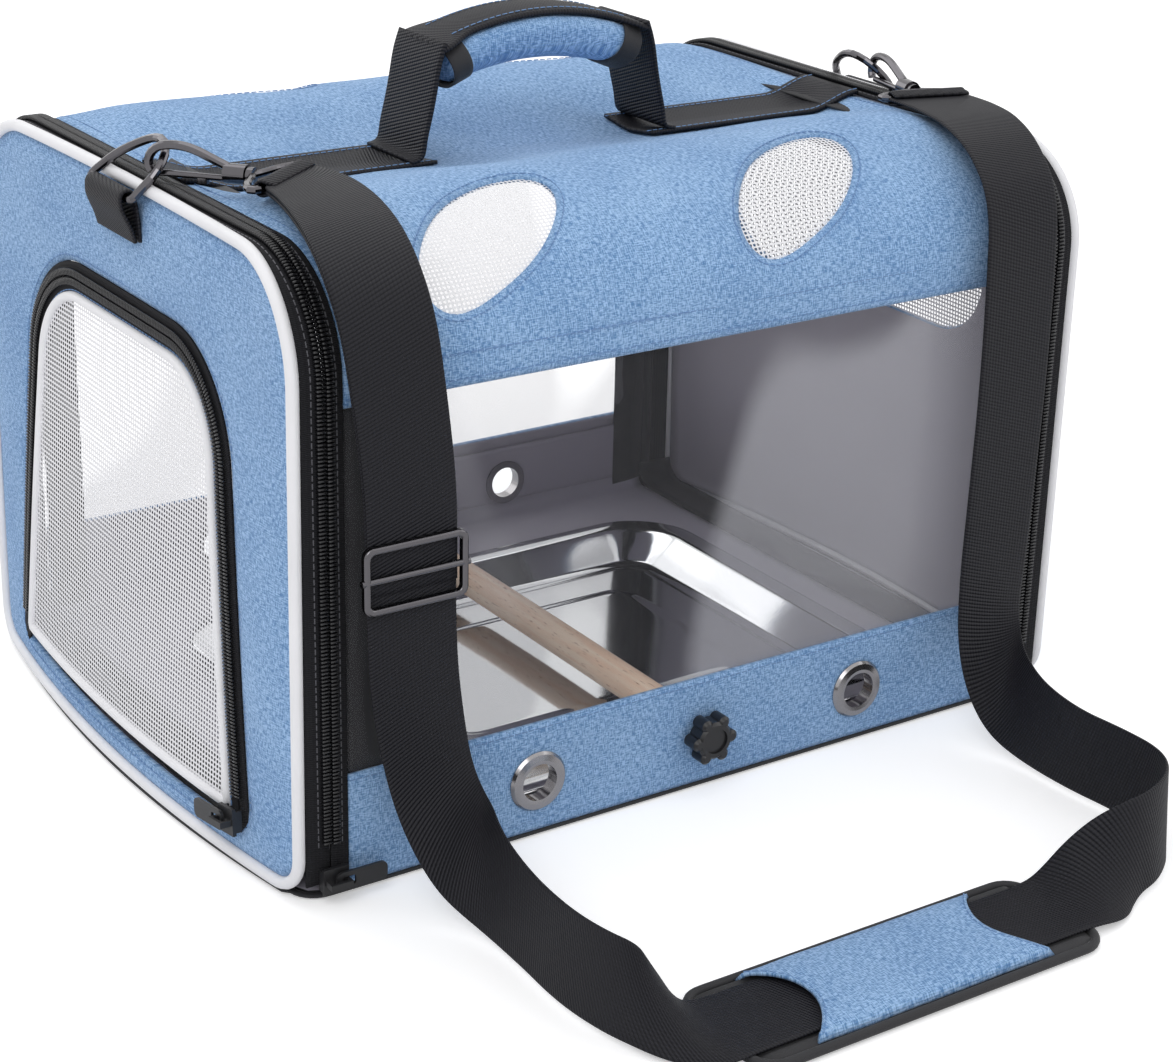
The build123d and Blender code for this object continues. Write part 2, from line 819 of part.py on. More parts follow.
leg_thick = 2.2
leg_top = (handle_fold + 0.6, handle_top - 1)
with BuildPart() as legs:
    for hand in (-1, 1):
        with BuildSketch(Plane.XZ.offset(-webbing / 2)):
            with BuildLine():
                Spline(
                    (hand * (handle_x - 4), web_z),
                    (hand * (handle_x - 4.5), web_z + 6),
                    (hand * (handle_fold + 5), web_z + 28),
                    (hand * leg_top[0], leg_top[1]),
                )
            trace(line_width=leg_thick)
        extrude(amount=webbing)
finish(legs, "handle_legs")

web_section = roof_outline(-seat_gap - webbing_thick, window_top) - roof_outline(-seat_gap, window_top - 1)
with BuildPart() as runs:
    for hand in (-1, 1):
        with BuildSketch(Plane.YZ.offset(hand * (handle_x - 8))):
            add(web_section)
            with Locations((0, valley_z)):
                Rectangle(webbing, 40, mode=Mode.INTERSECT)
        extrude(amount=hand * (body_end - handle_x + 6))
finish(runs, "top_webbing")

# ---- D-rings and trigger hooks ---------------------------------------------------------------------

ring_x = face_x(0, ring_bar_z) + ring_bar_out


def ring_tab(hand):
    """Webbing tab on an end panel, folded round the straight side of its D-ring."""
    wide = ring_width - 4
    face = face_x(0, ring_bar_z - 20) + seat_gap
    wrap = ring_wire + running_gap / 2
    with BuildPart() as tab:
        with BuildSketch(Plane.XZ.offset(-wide / 2)):
            with Locations((hand * ring_x, ring_bar_z)):
                Circle(wrap + webbing_thick)
            with BuildLine():
                Polyline(
                    (hand * (ring_x + wrap + webbing_thick), ring_bar_z),
                    (hand * (face + 2 * webbing_thick + 0.4), ring_bar_z - 17),
                    (hand * (face + 0.2), ring_bar_z - 17),
                    (hand * (ring_x - wrap - webbing_thick), ring_bar_z),
                    close=True,
                )
            make_face()
            with Locations((hand * ring_x, ring_bar_z)):
                Circle(wrap, mode=Mode.SUBTRACT)
        extrude(amount=wide)
        add(crowned(hand, 60, -seat_gap), mode=Mode.SUBTRACT)
    return tab


def ring_bow(hand):
    """Plane a D-ring lies in and the line of its bow, drawn towards the front by the strap."""
    half = ring_width / 2
    rise = radians(ring_lean)
    place = Plane(
        origin=(hand * ring_x, 0, ring_bar_z), x_dir=(0, 1, 0), z_dir=(hand * sin(rise), 0, cos(rise))
    )
    half_bow = ((1, 4), (0.93, 12), (0.62, 21))
    bow = [(half * u, v) for u, v in half_bow] + [(0, ring_depth)]
    bow += [(-half * u, v) for u, v in reversed(half_bow)]
    away = 1 if place.y_dir.X * hand < 0 else -1
    points = [
        place.from_local_coords((u - ring_skew * (v - 4) * ring_depth / (ring_depth - 4), away * v, 0))
        for u, v in bow
    ]
    leave, arrive = points[1] - points[0], points[-1] - points[-2]
    return place, Edge.make_spline(points, tangents=[leave.normalized(), arrive.normalized()])


def d_ring(hand):
    """D-ring: straight side in its tab, bow leaning in over the end of the roof."""
    half = ring_width / 2
    place, bend = ring_bow(hand)
    straight = [place.from_local_coords((u, 0, 0)) for u in (-half + 3, half - 3)]
    bar = Line(straight[0], straight[1])
    lower = Spline(bend @ 1, bar @ 0, tangents=[bend % 1, bar % 0])
    upper = Spline(bar @ 1, bend @ 0, tangents=[bar % 1, bend % 0])
    straights = stations_on(lower, 5)[:-1] + [(bar @ 0, bar % 0)] + stations_on(upper, 5)
    with BuildPart() as ring_part:
        add(wire_along(stations_on(bend, 18), ring_wire, place.z_dir).part)
        add(wire_along(straights, ring_wire, place.z_dir).part)
    return ring_part


for hand, side in ((-1, "left"), (1, "right")):
    finish(ring_tab(hand), f"{side}_ring_tab")
    finish(d_ring(hand), f"{side}_ring")


hook_gap = 0.35
barrel_back = barrel_length + hook_gap
bolt_radius = 1.3
bolt_drop = 2.2
lever_drop = 2.6
hook_hold = 0.77  # how far round the bow, from the back, the hook pulls
jaw_drop = 2.3  # ring wire above the middle of the hook's bore
hooks = {"left": (-1, 0.60, -0.80, 0.02), "right": (1, -0.25, -0.968, 0.02)}


def hook_place(side):
    """Plane of a hook: X along it away from its ring, Z up, origin where the ring wire crosses."""
    hand, *pull = hooks[side]
    along = Vector(*pull).normalized()
    up = (Vector(0, 0, 1) - along * along.Z).normalized()
    wire = ring_bow(hand)[1] @ hook_hold
    return Plane(origin=wire - Vector(0, 0, jaw_drop), x_dir=along, z_dir=up)


def at(place, *points):
    return [place.from_local_coords(p) for p in points]


def trigger_hook(side):
    """Curved arm with its jaw round the ring, and the barrel its bolt slides in."""
    place = hook_place(side)
    arm = at(
        place,
        (jaw_reach + 1, 0, 2.4),
        (jaw_reach - 7, 0, 5.6),
        (jaw_reach - 16, 0, 8.6),
        (jaw_reach - 24, 0, 8.9),
        (-2.6, 0, 7.2),
        (-6.0, 0, 2.0),
        (-4.9, 0, -1.7),
    )
    with BuildPart() as hook:
        add(rod(arm, hook_wire, place.y_dir, 20).part)
        with BuildSketch(Plane(origin=at(place, (jaw_reach, 0, 0))[0], x_dir=place.y_dir, z_dir=place.x_dir)):
            Circle(barrel_radius)
        extrude(amount=barrel_length)
        with BuildSketch(
            Plane(origin=at(place, (jaw_reach, 0, 0))[0], x_dir=place.y_dir, z_dir=place.x_dir)
        ):
            with Locations((0, -bolt_drop)):
                Circle(bolt_radius + 0.25)
        extrude(amount=barrel_length - 0.8, mode=Mode.SUBTRACT)
    return hook


def bolt(side):
    """Sprung bolt that closes the jaw, with its thumb lever."""
    place = hook_place(side)
    start, end = at(place, (-1.4, 0, -bolt_drop), (jaw_reach + 1.2, 0, -bolt_drop))
    with BuildPart() as gate:
        with BuildSketch(Plane(origin=start, x_dir=place.y_dir, z_dir=place.x_dir)):
            Circle(bolt_radius)
        extrude(amount=(end - start).length)
        lever = at(place, (jaw_reach - bolt_travel - 4, 0, -bolt_drop))[0]
        with BuildSketch(Plane(origin=lever, x_dir=place.x_dir, z_dir=place.z_dir * -1)):
            RectangleRounded(5, 2.4, 1.1)
        extrude(amount=lever_drop)
    return gate


def swivel(side):
    """Swivel eye behind the barrel: collar, and a wide wire loop for the strap."""
    place = hook_place(side)
    back = jaw_reach + barrel_back
    loop = at(
        place,
        (back + 1.6, 0, 0),
        (back + 4, 7, 0),
        (back + 7.5, eye_half - 4, 0),
        (back + 11, eye_half, 0),
        (back + 14, eye_half - 4, 0),
    )
    other = at(
        place,
        (back + 14, 4 - eye_half, 0),
        (back + 11, -eye_half, 0),
        (back + 7.5, 4 - eye_half, 0),
        (back + 4, -7, 0),
        (back + 1.6, 0, 0),
    )
    with BuildPart() as eye:
        with BuildSketch(Plane(origin=at(place, (back, 0, 0))[0], x_dir=place.y_dir, z_dir=place.x_dir)):
            Circle(barrel_radius * 0.8)
        extrude(amount=2.6)
        add(rod(loop, eye_wire, place.z_dir).part)
        add(rod(other, eye_wire, place.z_dir).part)
        add(rod([loop[-1], other[0]], eye_wire, place.z_dir, 1).part)
    return eye


for side in ("left", "right"):
    finish(trigger_hook(side), f"{side}_hook")
    finish(bolt(side), f"{side}_bolt")
    finish(swivel(side), f"{side}_swivel")
    place = hook_place(side)
    ends = at(place, (jaw_reach, 0, 0), (jaw_reach + barrel_back + 14, 0, 0))
    print(side, "barrel", ends[0], "along", place.x_dir, "eye bar", ends[1], "bar runs", place.y_dir)

# ---- strap: a doubled run from the left hook to the buckle, then one run to the right hook ------
# Each point is x, y, z of the webbing's middle, then the direction its width faces.

strap_front = -(half_width + 12)
strap_x = half_length - 42  # middle of the strap where it hangs down the front
strap_over = roll_z + 3  # level of the strap across the roof
loop_route = [
    (1.4 - strap_x, -62.4, strap_over - 0.1, 0.80, 0.60, 0),
    (2.5 - strap_x, -69, strap_over + 0.1, 0.9, 0.42, 0),
    (2 - strap_x, -84, strap_over + 0.4, 1, 0.2, 0),
    (-strap_x - 2.5, -107, strap_over, 1, 0.05, 0),
    (-strap_x - 8, -131, strap_over - 3, 1, 0, 0),
    (-strap_x - 11, -149, strap_over - 12, 1, 0, 0),
    (-strap_x - 9, strap_front, strap_over - 30, 1, 0, 0),
    (-strap_x - 5, strap_front, strap_over - 56, 1, 0, 0),
    (-strap_x - 1, strap_front, 172, 1, 0, 0),
    (-strap_x, strap_front, 150, 1, 0, 0),
    (-strap_x, strap_front, 139, 1, 0, 0),
]
long_route = [
    (-strap_x, strap_front, 132, 1, 0, 0),
    (-strap_x, strap_front, 104, 1, 0, 0),
    (3 - strap_x, strap_front, 74, 1, 0, 0),
    (8 - strap_x, strap_front - 2, 44, 1, 0.1, 0.1),
    (-136, -172, 27, 0.9, 0.2, 0.5),
    (-137, -195, 22, 0.35, 0.1, 1),
    (-140, -225, 21, 0.1, 0, 1),
    (-142, -254, 21, 0.1, 0, 1),
    (-140, -276, 21.5, 0.1, 0.1, 1),
    (-134, -291, 20.5, 0.1, 0.3, 1),
    (-124, -300, 13.5, 0, 0.8, 0.6),
    (-113, -302, 5.6, 0, 1, 0.08),
    (-102, -302, 4.4, 0, 1, 0),
    (-86, -302, 4.4, 0, 1, 0),
    (-60, -302, 4.4, 0, 1, 0),
    (-26, -302, 4.4, 0, 1, 0),
    (8, -302, 4.4, 0, 1, 0),
    (34, -302, 4.4, 0, 1, 0),
    (50, -302, 4.4, 0, 1, 0),
    (61, -302.3, 5.6, 0, 1, 0.08),
    (73, -304, 12.5, 0, 0.85, 0.55),
    (88, -305, 20.5, 0, 0.3, 1),
    (104, -303, 21.5, 0, 0.2, 1),
    (122, -292, 21.5, 0, 0.1, 1),
    (131, -275, 21, 0, 0, 1),
    (131, -255, 21, 0, 0, 1),
    (128, -230, 21, 0, 0, 1),
    (131, -200, 21.5, 0.2, 0, 1),
    (137, -176, 26, 0.7, 0.1, 0.8),
    (strap_x - 5, strap_front - 3, 44, 1, 0.1, 0.1),
    (strap_x - 2, strap_front, 74, 1, 0, 0),
    (strap_x - 1, strap_front, 110, 1, 0, 0),
    (strap_x, strap_front, 156, 1, 0, 0),
    (strap_x - 1, strap_front, strap_over - 60, 1, 0, 0),
    (strap_x, strap_front + 3, strap_over - 24, 1, 0, 0),
    (strap_x + 5, -134, strap_over - 7, 1, 0, 0),
    (strap_x + 10.5, -112, strap_over - 0.8, 1, -0.1, 0),
    (strap_x + 14.5, -93, strap_over + 0.1, 1, -0.18, 0),
    (strap_x + 16.6, -79, strap_over, 0.98, -0.22, 0),
    (strap_x + 17.05, -71.3, strap_over - 0.1, 0.968, -0.25, 0),
]


def ribbon(route, thick, count):
    """Flat webbing whose middle follows a route, in short lengths."""
    middle = [Vector(*point[:3]) for point in route]
    across = [Vector(*point[3:]).normalized() for point in route]
    runs = [0.0]
    for a, b in zip(middle, middle[1:]):
        runs.append(runs[-1] + (b - a).length)
    line = Edge.make_spline(middle)
    rings = []
    for step in range(count + 1):
        here = runs[-1] * step / count
        i = max(k for k in range(len(runs) - 1) if runs[k] <= here + 1e-6)
        part = min(1.0, (here - runs[i]) / (runs[i + 1] - runs[i]))
        wide = (across[i] * (1 - part) + across[i + 1] * part).normalized()
        flat = wide.cross(line % (step / count)).normalized() * thick / 2
        wide = wide * webbing / 2
        spot = line @ (step / count)
        rings.append([spot + wide + flat, spot - wide + flat, spot - wide - flat, spot + wide - flat])
    sides = []
    for a, b in zip(rings, rings[1:]):
        for i in range(4):
            j = (i + 1) % 4
            sides += [[a[i], a[j], b[j]], [a[i], b[j], b[i]]]
    sides += [rings[0][::-1], rings[-1]]
    return Solid(Shell([Face(Wire.make_polygon(corners)) for corners in sides]))


finish(ribbon(loop_route, 2 * webbing_thick, 24), "strap_loop")
finish(ribbon(long_route, webbing_thick, 96), "shoulder_strap")

# ---- buckle: wire frame in front of the strap, with the bar the webbing is sewn round ------------

buckle_x = loop_route[-1][0]
buckle_y = strap_front - webbing_thick - 0.3 - 0.8 * buckle_wire
buckle_half = webbing / 2 + 3
with BuildPart() as frame:
    with BuildSketch(Plane.XZ.offset(-buckle_y)):
        with Locations((buckle_x, buckle_z)):
            RectangleRounded(2 * buckle_half, buckle_height, 4)
            RectangleRounded(
                2 * (buckle_half - 1.6 * buckle_wire), buckle_height - 3.2 * buckle_wire, 2,
                mode=Mode.SUBTRACT,
            )
    extrude(amount=buckle_wire * 0.8, both=True)
    fillet(frame.edges().group_by(Axis.Y)[0], 0.9)
    with Locations((buckle_x, buckle_y, buckle_z)):
        Cylinder(buckle_wire * 0.8, 2 * buckle_half + 1.6, rotation=(0, 90, 0))
finish(frame, "buckle")

# ---- shoulder pad -----------------------------------------------------------------------------

pad_x, pad_y = pad_centre
strap_low = 4.4 - webbing_thick / 2
pad_base = strap_low - seat_gap - 0.3
sleeve_half = 56
with BuildPart() as cushion:
    with BuildSketch(Plane.XY.offset(0.3)):
        with Locations((pad_x, pad_y)):
            RectangleRounded(pad_length, pad_width, 12)
    extrude(amount=pad_base - 0.3)
    with BuildSketch(Plane.XY.offset(0.3)):
        with Locations((pad_x, pad_y)):
            RectangleRounded(pad_length, pad_width, 12)
            RectangleRounded(pad_length - 7, pad_width - 7, 8.5, mode=Mode.SUBTRACT)
    extrude(amount=pad_base + 0.5)
    with BuildSketch(Plane.XY.offset(pad_base)):
        with Locations((pad_x, pad_y)):
            Rectangle(pad_length + 4, webbing + 2)
    extrude(amount=8, mode=Mode.SUBTRACT)
finish(cushion, "shoulder_pad")

sleeve_wall = 1.4
slot_top = 4.4 + webbing_thick / 2 + 0.5
with BuildPart() as cover:
    with BuildSketch(Plane.XY.offset(pad_base + seat_gap)):
        with BuildLine():
            Line((pad_x - sleeve_half, pad_y - 23), (pad_x + sleeve_half, pad_y - 23))
            ThreePointArc(
                (pad_x + sleeve_half, pad_y - 23), (pad_x + sleeve_half - 16, pad_y),
                (pad_x + sleeve_half, pad_y + 23),
            )
            Line((pad_x + sleeve_half, pad_y + 23), (pad_x - sleeve_half, pad_y + 23))
            ThreePointArc(
                (pad_x - sleeve_half, pad_y + 23), (pad_x - sleeve_half + 16, pad_y),
                (pad_x - sleeve_half, pad_y - 23),
            )
        make_face()
    extrude(amount=slot_top + sleeve_wall - pad_base - seat_gap)
    with BuildSketch(Plane.XY.offset(pad_base + seat_gap)):
        with Locations((pad_x, pad_y)):
            Rectangle(4 * sleeve_half, webbing + 2)
    extrude(amount=slot_top - pad_base - seat_gap, mode=Mode.SUBTRACT)
finish(cover, "pad_sleeve")

widest = Compound(children=pieces).bounding_box()
print("overall size", widest.size, "from", widest.min, "to", widest.max)
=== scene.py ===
import math
from functools import partial

import bmesh
import bpy
import numpy as np
from mathutils import Matrix, Vector, noise
from mathutils.geometry import delaunay_2d_cdt


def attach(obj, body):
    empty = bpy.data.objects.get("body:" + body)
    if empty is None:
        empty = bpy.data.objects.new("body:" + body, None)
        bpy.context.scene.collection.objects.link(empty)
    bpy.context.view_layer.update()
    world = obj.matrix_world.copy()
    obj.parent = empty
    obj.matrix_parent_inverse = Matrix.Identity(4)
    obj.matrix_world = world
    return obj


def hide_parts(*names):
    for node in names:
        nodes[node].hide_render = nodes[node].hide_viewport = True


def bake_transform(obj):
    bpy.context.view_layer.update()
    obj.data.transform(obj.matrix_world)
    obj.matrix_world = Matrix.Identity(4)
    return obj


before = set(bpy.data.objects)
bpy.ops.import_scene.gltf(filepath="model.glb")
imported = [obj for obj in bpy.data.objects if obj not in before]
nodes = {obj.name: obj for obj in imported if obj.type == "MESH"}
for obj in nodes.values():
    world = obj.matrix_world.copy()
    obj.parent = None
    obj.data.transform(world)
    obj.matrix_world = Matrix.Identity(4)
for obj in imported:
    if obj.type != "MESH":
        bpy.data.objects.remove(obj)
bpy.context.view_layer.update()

scene = bpy.context.scene
mm = 0.001  # shapes below are worked out in millimetres and placed in metres
carrier = dict(
    halfLength=189, halfWidth=145, height=251, topRadius=44, footRadius=14, bodyEnd=168, windowTop=197,
    bandTop=50, footBow=14, topLean=-6, bowHalf=151, bowHeight=259, pipingRadius=2.4, pipingIn=1.2,
)
hands = ((-1, "left"), (1, "right"))
walls = ((-1, "front"), (1, "back"))
endLean = (carrier["topLean"] - carrier["footBow"]) / carrier["bowHeight"]
end = carrier["bodyEnd"]


# lines and surfaces


def smoothLine(points, spacing=3.0, closed=False):
    # a curve through the points, read off at even steps
    p = np.array(points, float)
    if closed:
        p = np.vstack([p[-3:], p, p[:3]])
    t = np.concatenate([[0], np.cumsum(np.sqrt(np.linalg.norm(np.diff(p, axis=0), axis=1)))])
    n = len(p)
    a = np.zeros((n, n))
    b = np.zeros((n, p.shape[1]))
    a[0, 0] = a[-1, -1] = 1
    h = np.diff(t)
    for i in range(1, n - 1):
        a[i, i - 1], a[i, i], a[i, i + 1] = h[i - 1], 2 * (h[i - 1] + h[i]), h[i]
        b[i] = 6 * ((p[i + 1] - p[i]) / h[i] - (p[i] - p[i - 1]) / h[i - 1])
    m = np.linalg.solve(a, b)
    lo, hi = (t[3], t[-3]) if closed else (t[0], t[-1])
    s = np.linspace(lo, hi, 40 * n)
    k = np.clip(np.searchsorted(t, s, side="right") - 1, 0, n - 2)
    d, e = (s - t[k])[:, None], (t[k + 1] - s)[:, None]
    hk = h[k][:, None]
    fine = (
        m[k] * e**3 / (6 * hk) + m[k + 1] * d**3 / (6 * hk)
        + (p[k] / hk - m[k] * hk / 6) * e + (p[k + 1] / hk - m[k + 1] * hk / 6) * d
    )
    return evenSteps(fine, spacing, closed)


def evenSteps(line, spacing, closed=False):
    line = np.array(line, float)
    if closed and np.linalg.norm(line[0] - line[-1]) > 1e-6:
        line = np.vstack([line, line[:1]])
    run = runAlong(line)
    count = max(2, int(round(run[-1] / spacing)))
    at = np.linspace(0, run[-1], count + 1)
    out = np.stack([np.interp(at, run, line[:, i]) for i in range(line.shape[1])], 1)
    return out[:-1] if closed else out


def runLength(line):
    return float(np.linalg.norm(np.diff(np.array(line, float), axis=0), axis=1).sum())


def runAlong(line):
    # distance from the start at each point
    return np.concatenate([[0], np.cumsum(np.linalg.norm(np.diff(line, axis=0), axis=1))])


def headings(line):
    # unit direction at each point of an open line
    tangent = np.gradient(np.array(line, float), axis=0)
    return tangent / np.linalg.norm(tangent, axis=1)[:, None]


def roundedLoop(corners, spacing=3.0):
    # a closed outline from (x, y, radius) corners
    line = []
    n = len(corners)
    for i, (x, y, r) in enumerate(corners):
        here = Vector((x, y))
        back = (Vector(corners[i - 1][:2]) - here).normalized()
        ahead = (Vector(corners[(i + 1) % n][:2]) - here).normalized()
        if r <= 0:
            line.append(tuple(here))
            continue
        half = back.angle(ahead) / 2
        centre = here + (back + ahead).normalized() * (r / math.sin(half))
        start, end = here + back * (r / math.tan(half)), here + ahead * (r / math.tan(half))
        a0 = math.atan2(*(start - centre).yx)
        a1 = math.atan2(*(end - centre).yx)
        turn = (a1 - a0 + math.pi) % (2 * math.pi) - math.pi
        steps = max(3, int(abs(turn) * r / spacing) + 1)
        line += [
            (centre.x + r * math.cos(a0 + turn * k / steps), centre.y + r * math.sin(a0 + turn * k / steps))
            for k in range(steps + 1)
        ]
    return line


def circleLoop(x, y, r, count=40):
    turns = [2 * math.pi * k / count for k in range(count)]
    return [(x + r * math.cos(a), y + r * math.sin(a)) for a in turns]


def insideLoop(points, loop):
    x, y = points[:, 0], points[:, 1]
    hit = np.zeros(len(points), bool)
    for (x0, y0), (x1, y1) in zip(loop, loop[1:] + loop[:1]):
        if y0 == y1:
            continue
        crosses = (y0 > y) != (y1 > y)
        hit ^= crosses & (x < (x1 - x0) * (y - y0) / (y1 - y0) + x0)
    return hit


def gapToLoops(points, loops):
    best = np.full(len(points), 1e9)
    for loop in loops:
        a = np.array(loop)
        b = np.roll(a, -1, axis=0)
        for p, q in zip(a, b):
            d = q - p
            t = np.clip(((points - p) @ d) / max(d @ d, 1e-9), 0, 1)
            best = np.minimum(best, np.linalg.norm(points - p - t[:, None] * d, axis=1))
    return best


def fillOutline(outline, holes=(), step=5.0):
    # flat points and triangles that fill an outline round its holes
    loops = [evenSteps(np.array(loop, float)[:, :2], step * 0.6, True) for loop in (outline, *holes)]
    loops = [[tuple(map(float, p)) for p in loop] for loop in loops]
    rim = [p for loop in loops for p in loop]
    edges, start = [], 0
    for loop in loops:
        edges += [(start + i, start + (i + 1) % len(loop)) for i in range(len(loop))]
        start += len(loop)
    a = np.array(loops[0])
    gx, gy = np.meshgrid(
        np.arange(a[:, 0].min() + step / 2, a[:, 0].max(), step),
        np.arange(a[:, 1].min() + step / 2, a[:, 1].max(), step),
    )
    grid = np.stack([gx.ravel(), gy.ravel()], 1)
    keep = insideLoop(grid, loops[0])
    for loop in loops[1:]:
        keep &= ~insideLoop(grid, loop)
    grid = grid[keep]
    grid = grid[gapToLoops(grid, loops) > step * 0.45]
    points, _, faces, *_ = delaunay_2d_cdt(
        [Vector(p) for p in rim] + [Vector(p) for p in grid], edges, [], 0, 1e-6
    )
    flat = np.array([tuple(p) for p in points])
    tri = np.array(faces)
    middle = flat[tri].mean(axis=1)
    keep = insideLoop(middle, loops[0])
    for loop in loops[1:]:
        keep &= ~insideLoop(middle, loop)
    return flat, tri[keep], gapToLoops(flat, loops)


def soft(x, y, z=0.0, size=60.0, seed=0.0):
    # slow random lift between about -1 and 1
    return noise.noise(Vector((x / size + seed, y / size - seed, z / size + 3.1 * seed)))


def ease(t):
    t = np.clip(t, 0, 1)
    return t * t * (3 - 2 * t)


# meshes


def meshObject(name, points, faces, uv=None, smooth=True):
    mesh = bpy.data.meshes.new(name)
    metres = [tuple(float(c) * mm for c in p) for p in points]
    mesh.from_pydata(metres, [], [tuple(map(int, f)) for f in faces])
    if uv is not None:
        layer = mesh.uv_layers.new(name="UVMap")
        loops = np.zeros(len(mesh.loops), np.int32)
        mesh.loops.foreach_get("vertex_index", loops)
        layer.data.foreach_set("uv", (np.array(uv, float)[loops] * mm).ravel())
    obj = bpy.data.objects.new(name, mesh)
    scene.collection.objects.link(obj)
    if smooth:
        mesh.shade_smooth()
    return obj


def settle(obj):
    # the modifiers' result becomes the mesh
    graph = bpy.context.evaluated_depsgraph_get()
    graph.update()
    made = obj.evaluated_get(graph)
    mesh = bpy.data.meshes.new_from_object(made, preserve_all_data_layers=True, depsgraph=graph)
    mesh.name = obj.name
    if obj.type == "MESH":
        obj.modifiers.clear()
        obj.data = mesh
        return obj
    new = bpy.data.objects.new(obj.name + "Mesh", mesh)
    scene.collection.objects.link(new)
    return new


def dress(obj, body, looks, replaced=()):
    # finishes, replaced solids and body of a piece
    looks = [looks] if isinstance(looks, str) else looks
    materials = obj.data.materials
    for index, look in enumerate(looks):
        if index < len(materials):
            materials[index] = finish[look]
        else:
            materials.append(finish[look])
    while len(materials) > len(looks):
        materials.pop()
    if replaced:
        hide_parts(*replaced)
    if body:
        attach(obj, body)
    return obj


def twoSided(obj):
    # a slot for each side of a cloth, filled when the piece is dressed
    for _ in range(2):
        obj.data.materials.append(None)


def thicken(obj, thick, cloth=False):
    # thickness on the inner side, in a slot of its own on cloth
    wall = obj.modifiers.new("wall", "SOLIDIFY")
    wall.thickness, wall.offset = thick * mm, -1
    if cloth:
        wall.material_offset = 1
        twoSided(obj)
    settle(obj)


def faceTowards(obj, direction, index=None):
    # turns the faces over if one of them looks away from the direction
    faces = obj.data.polygons
    if faces[len(faces) // 2 if index is None else index].normal.dot(Vector(direction)) < 0:
        obj.data.flip_normals()


def clothPiece(name, outline, holes, place, thick, step=5.0, sink=0.0, reach=7.0, wave=0.0,
               waveSize=60.0, seed=1.0):
    # a flat pattern laid on a surface: place gives points and outward normals, the edge sinks
    # and the middle waves
    flat, tri, gap = fillOutline(outline, holes, step)
    points, normals = place(flat[:, 0], flat[:, 1])
    lift = -sink * np.exp(-gap / reach)
    if wave:
        calm = 1 - np.exp(-gap / 12)
        lift = lift + wave * calm * np.array([soft(x, y, 0, waveSize, seed) for x, y in flat])
    points = points + normals * lift[:, None]
    side = np.cross(points[tri[:, 1]] - points[tri[:, 0]], points[tri[:, 2]] - points[tri[:, 0]])
    if (side * normals[tri[:, 0]]).sum() < 0:
        tri = tri[:, ::-1]
    obj = meshObject(name, points, tri, flat)
    if thick:
        thicken(obj, thick, cloth=True)
    return obj


def gridPiece(name, rows, uvRows, closedRound=False, closedAlong=False):
    # quads over rows of points
    n, m = len(rows), len(rows[0])
    points = [p for row in rows for p in row]
    uv = [p for row in uvRows for p in row]
    faces = []
    for i in range(n if closedAlong else n - 1):
        for j in range(m if closedRound else m - 1):
            a, b = i * m + j, i * m + (j + 1) % m
            c, d = ((i + 1) % n) * m + (j + 1) % m, ((i + 1) % n) * m + j
            faces.append((a, b, c, d))
    return meshObject(name, points, faces, uv)


def reshape(obj, change):
    # a mesh edit: change gets the mesh's faces, edges and points
    work = bmesh.new()
    work.from_mesh(obj.data)
    change(work)
    work.to_mesh(obj.data)
    work.free()
    return obj


def fillEnds(obj):
    # flat caps over a tube's open ends
    def change(work):
        bmesh.ops.holes_fill(work, edges=[e for e in work.edges if e.is_boundary], sides=0)
    return reshape(obj, change)


def pointOutwards(obj):
    def change(work):
        bmesh.ops.remove_doubles(work, verts=work.verts, dist=1e-6)
        bmesh.ops.recalc_face_normals(work, faces=work.faces)
    return reshape(obj, change)


def tubePiece(name, line, radius, closed=False, sides=12, flatten=1.0):
    line = np.array(line, float)
    n = len(line)
    tangent = np.roll(line, -1, 0) - np.roll(line, 1, 0) if closed else np.gradient(line, axis=0)
    tangent /= np.linalg.norm(tangent, axis=1)[:, None]
    side = np.cross(tangent[0], (0, 0, 1) if abs(tangent[0][2]) < 0.9 else (1, 0, 0))
    rows, uvRows, run = [], [], 0.0
    for i in range(n):
        side = side - tangent[i] * (side @ tangent[i])
        side /= np.linalg.norm(side)
        up = np.cross(tangent[i], side)
        r = radius[i] if hasattr(radius, "__len__") else radius
        turns = [2 * math.pi * k / sides for k in range(sides)]
        rows.append([line[i] + side * r * math.cos(a) + up * r * flatten * math.sin(a) for a in turns])
        uvRows.append([(2 * math.pi * r * k / sides, run) for k in range(sides)])
        run += np.linalg.norm(line[(i + 1) % n] - line[i])
    obj = gridPiece(name, rows, uvRows, closedRound=True, closedAlong=closed)
    if not closed:
        fillEnds(obj)
    return pointOutwards(obj)


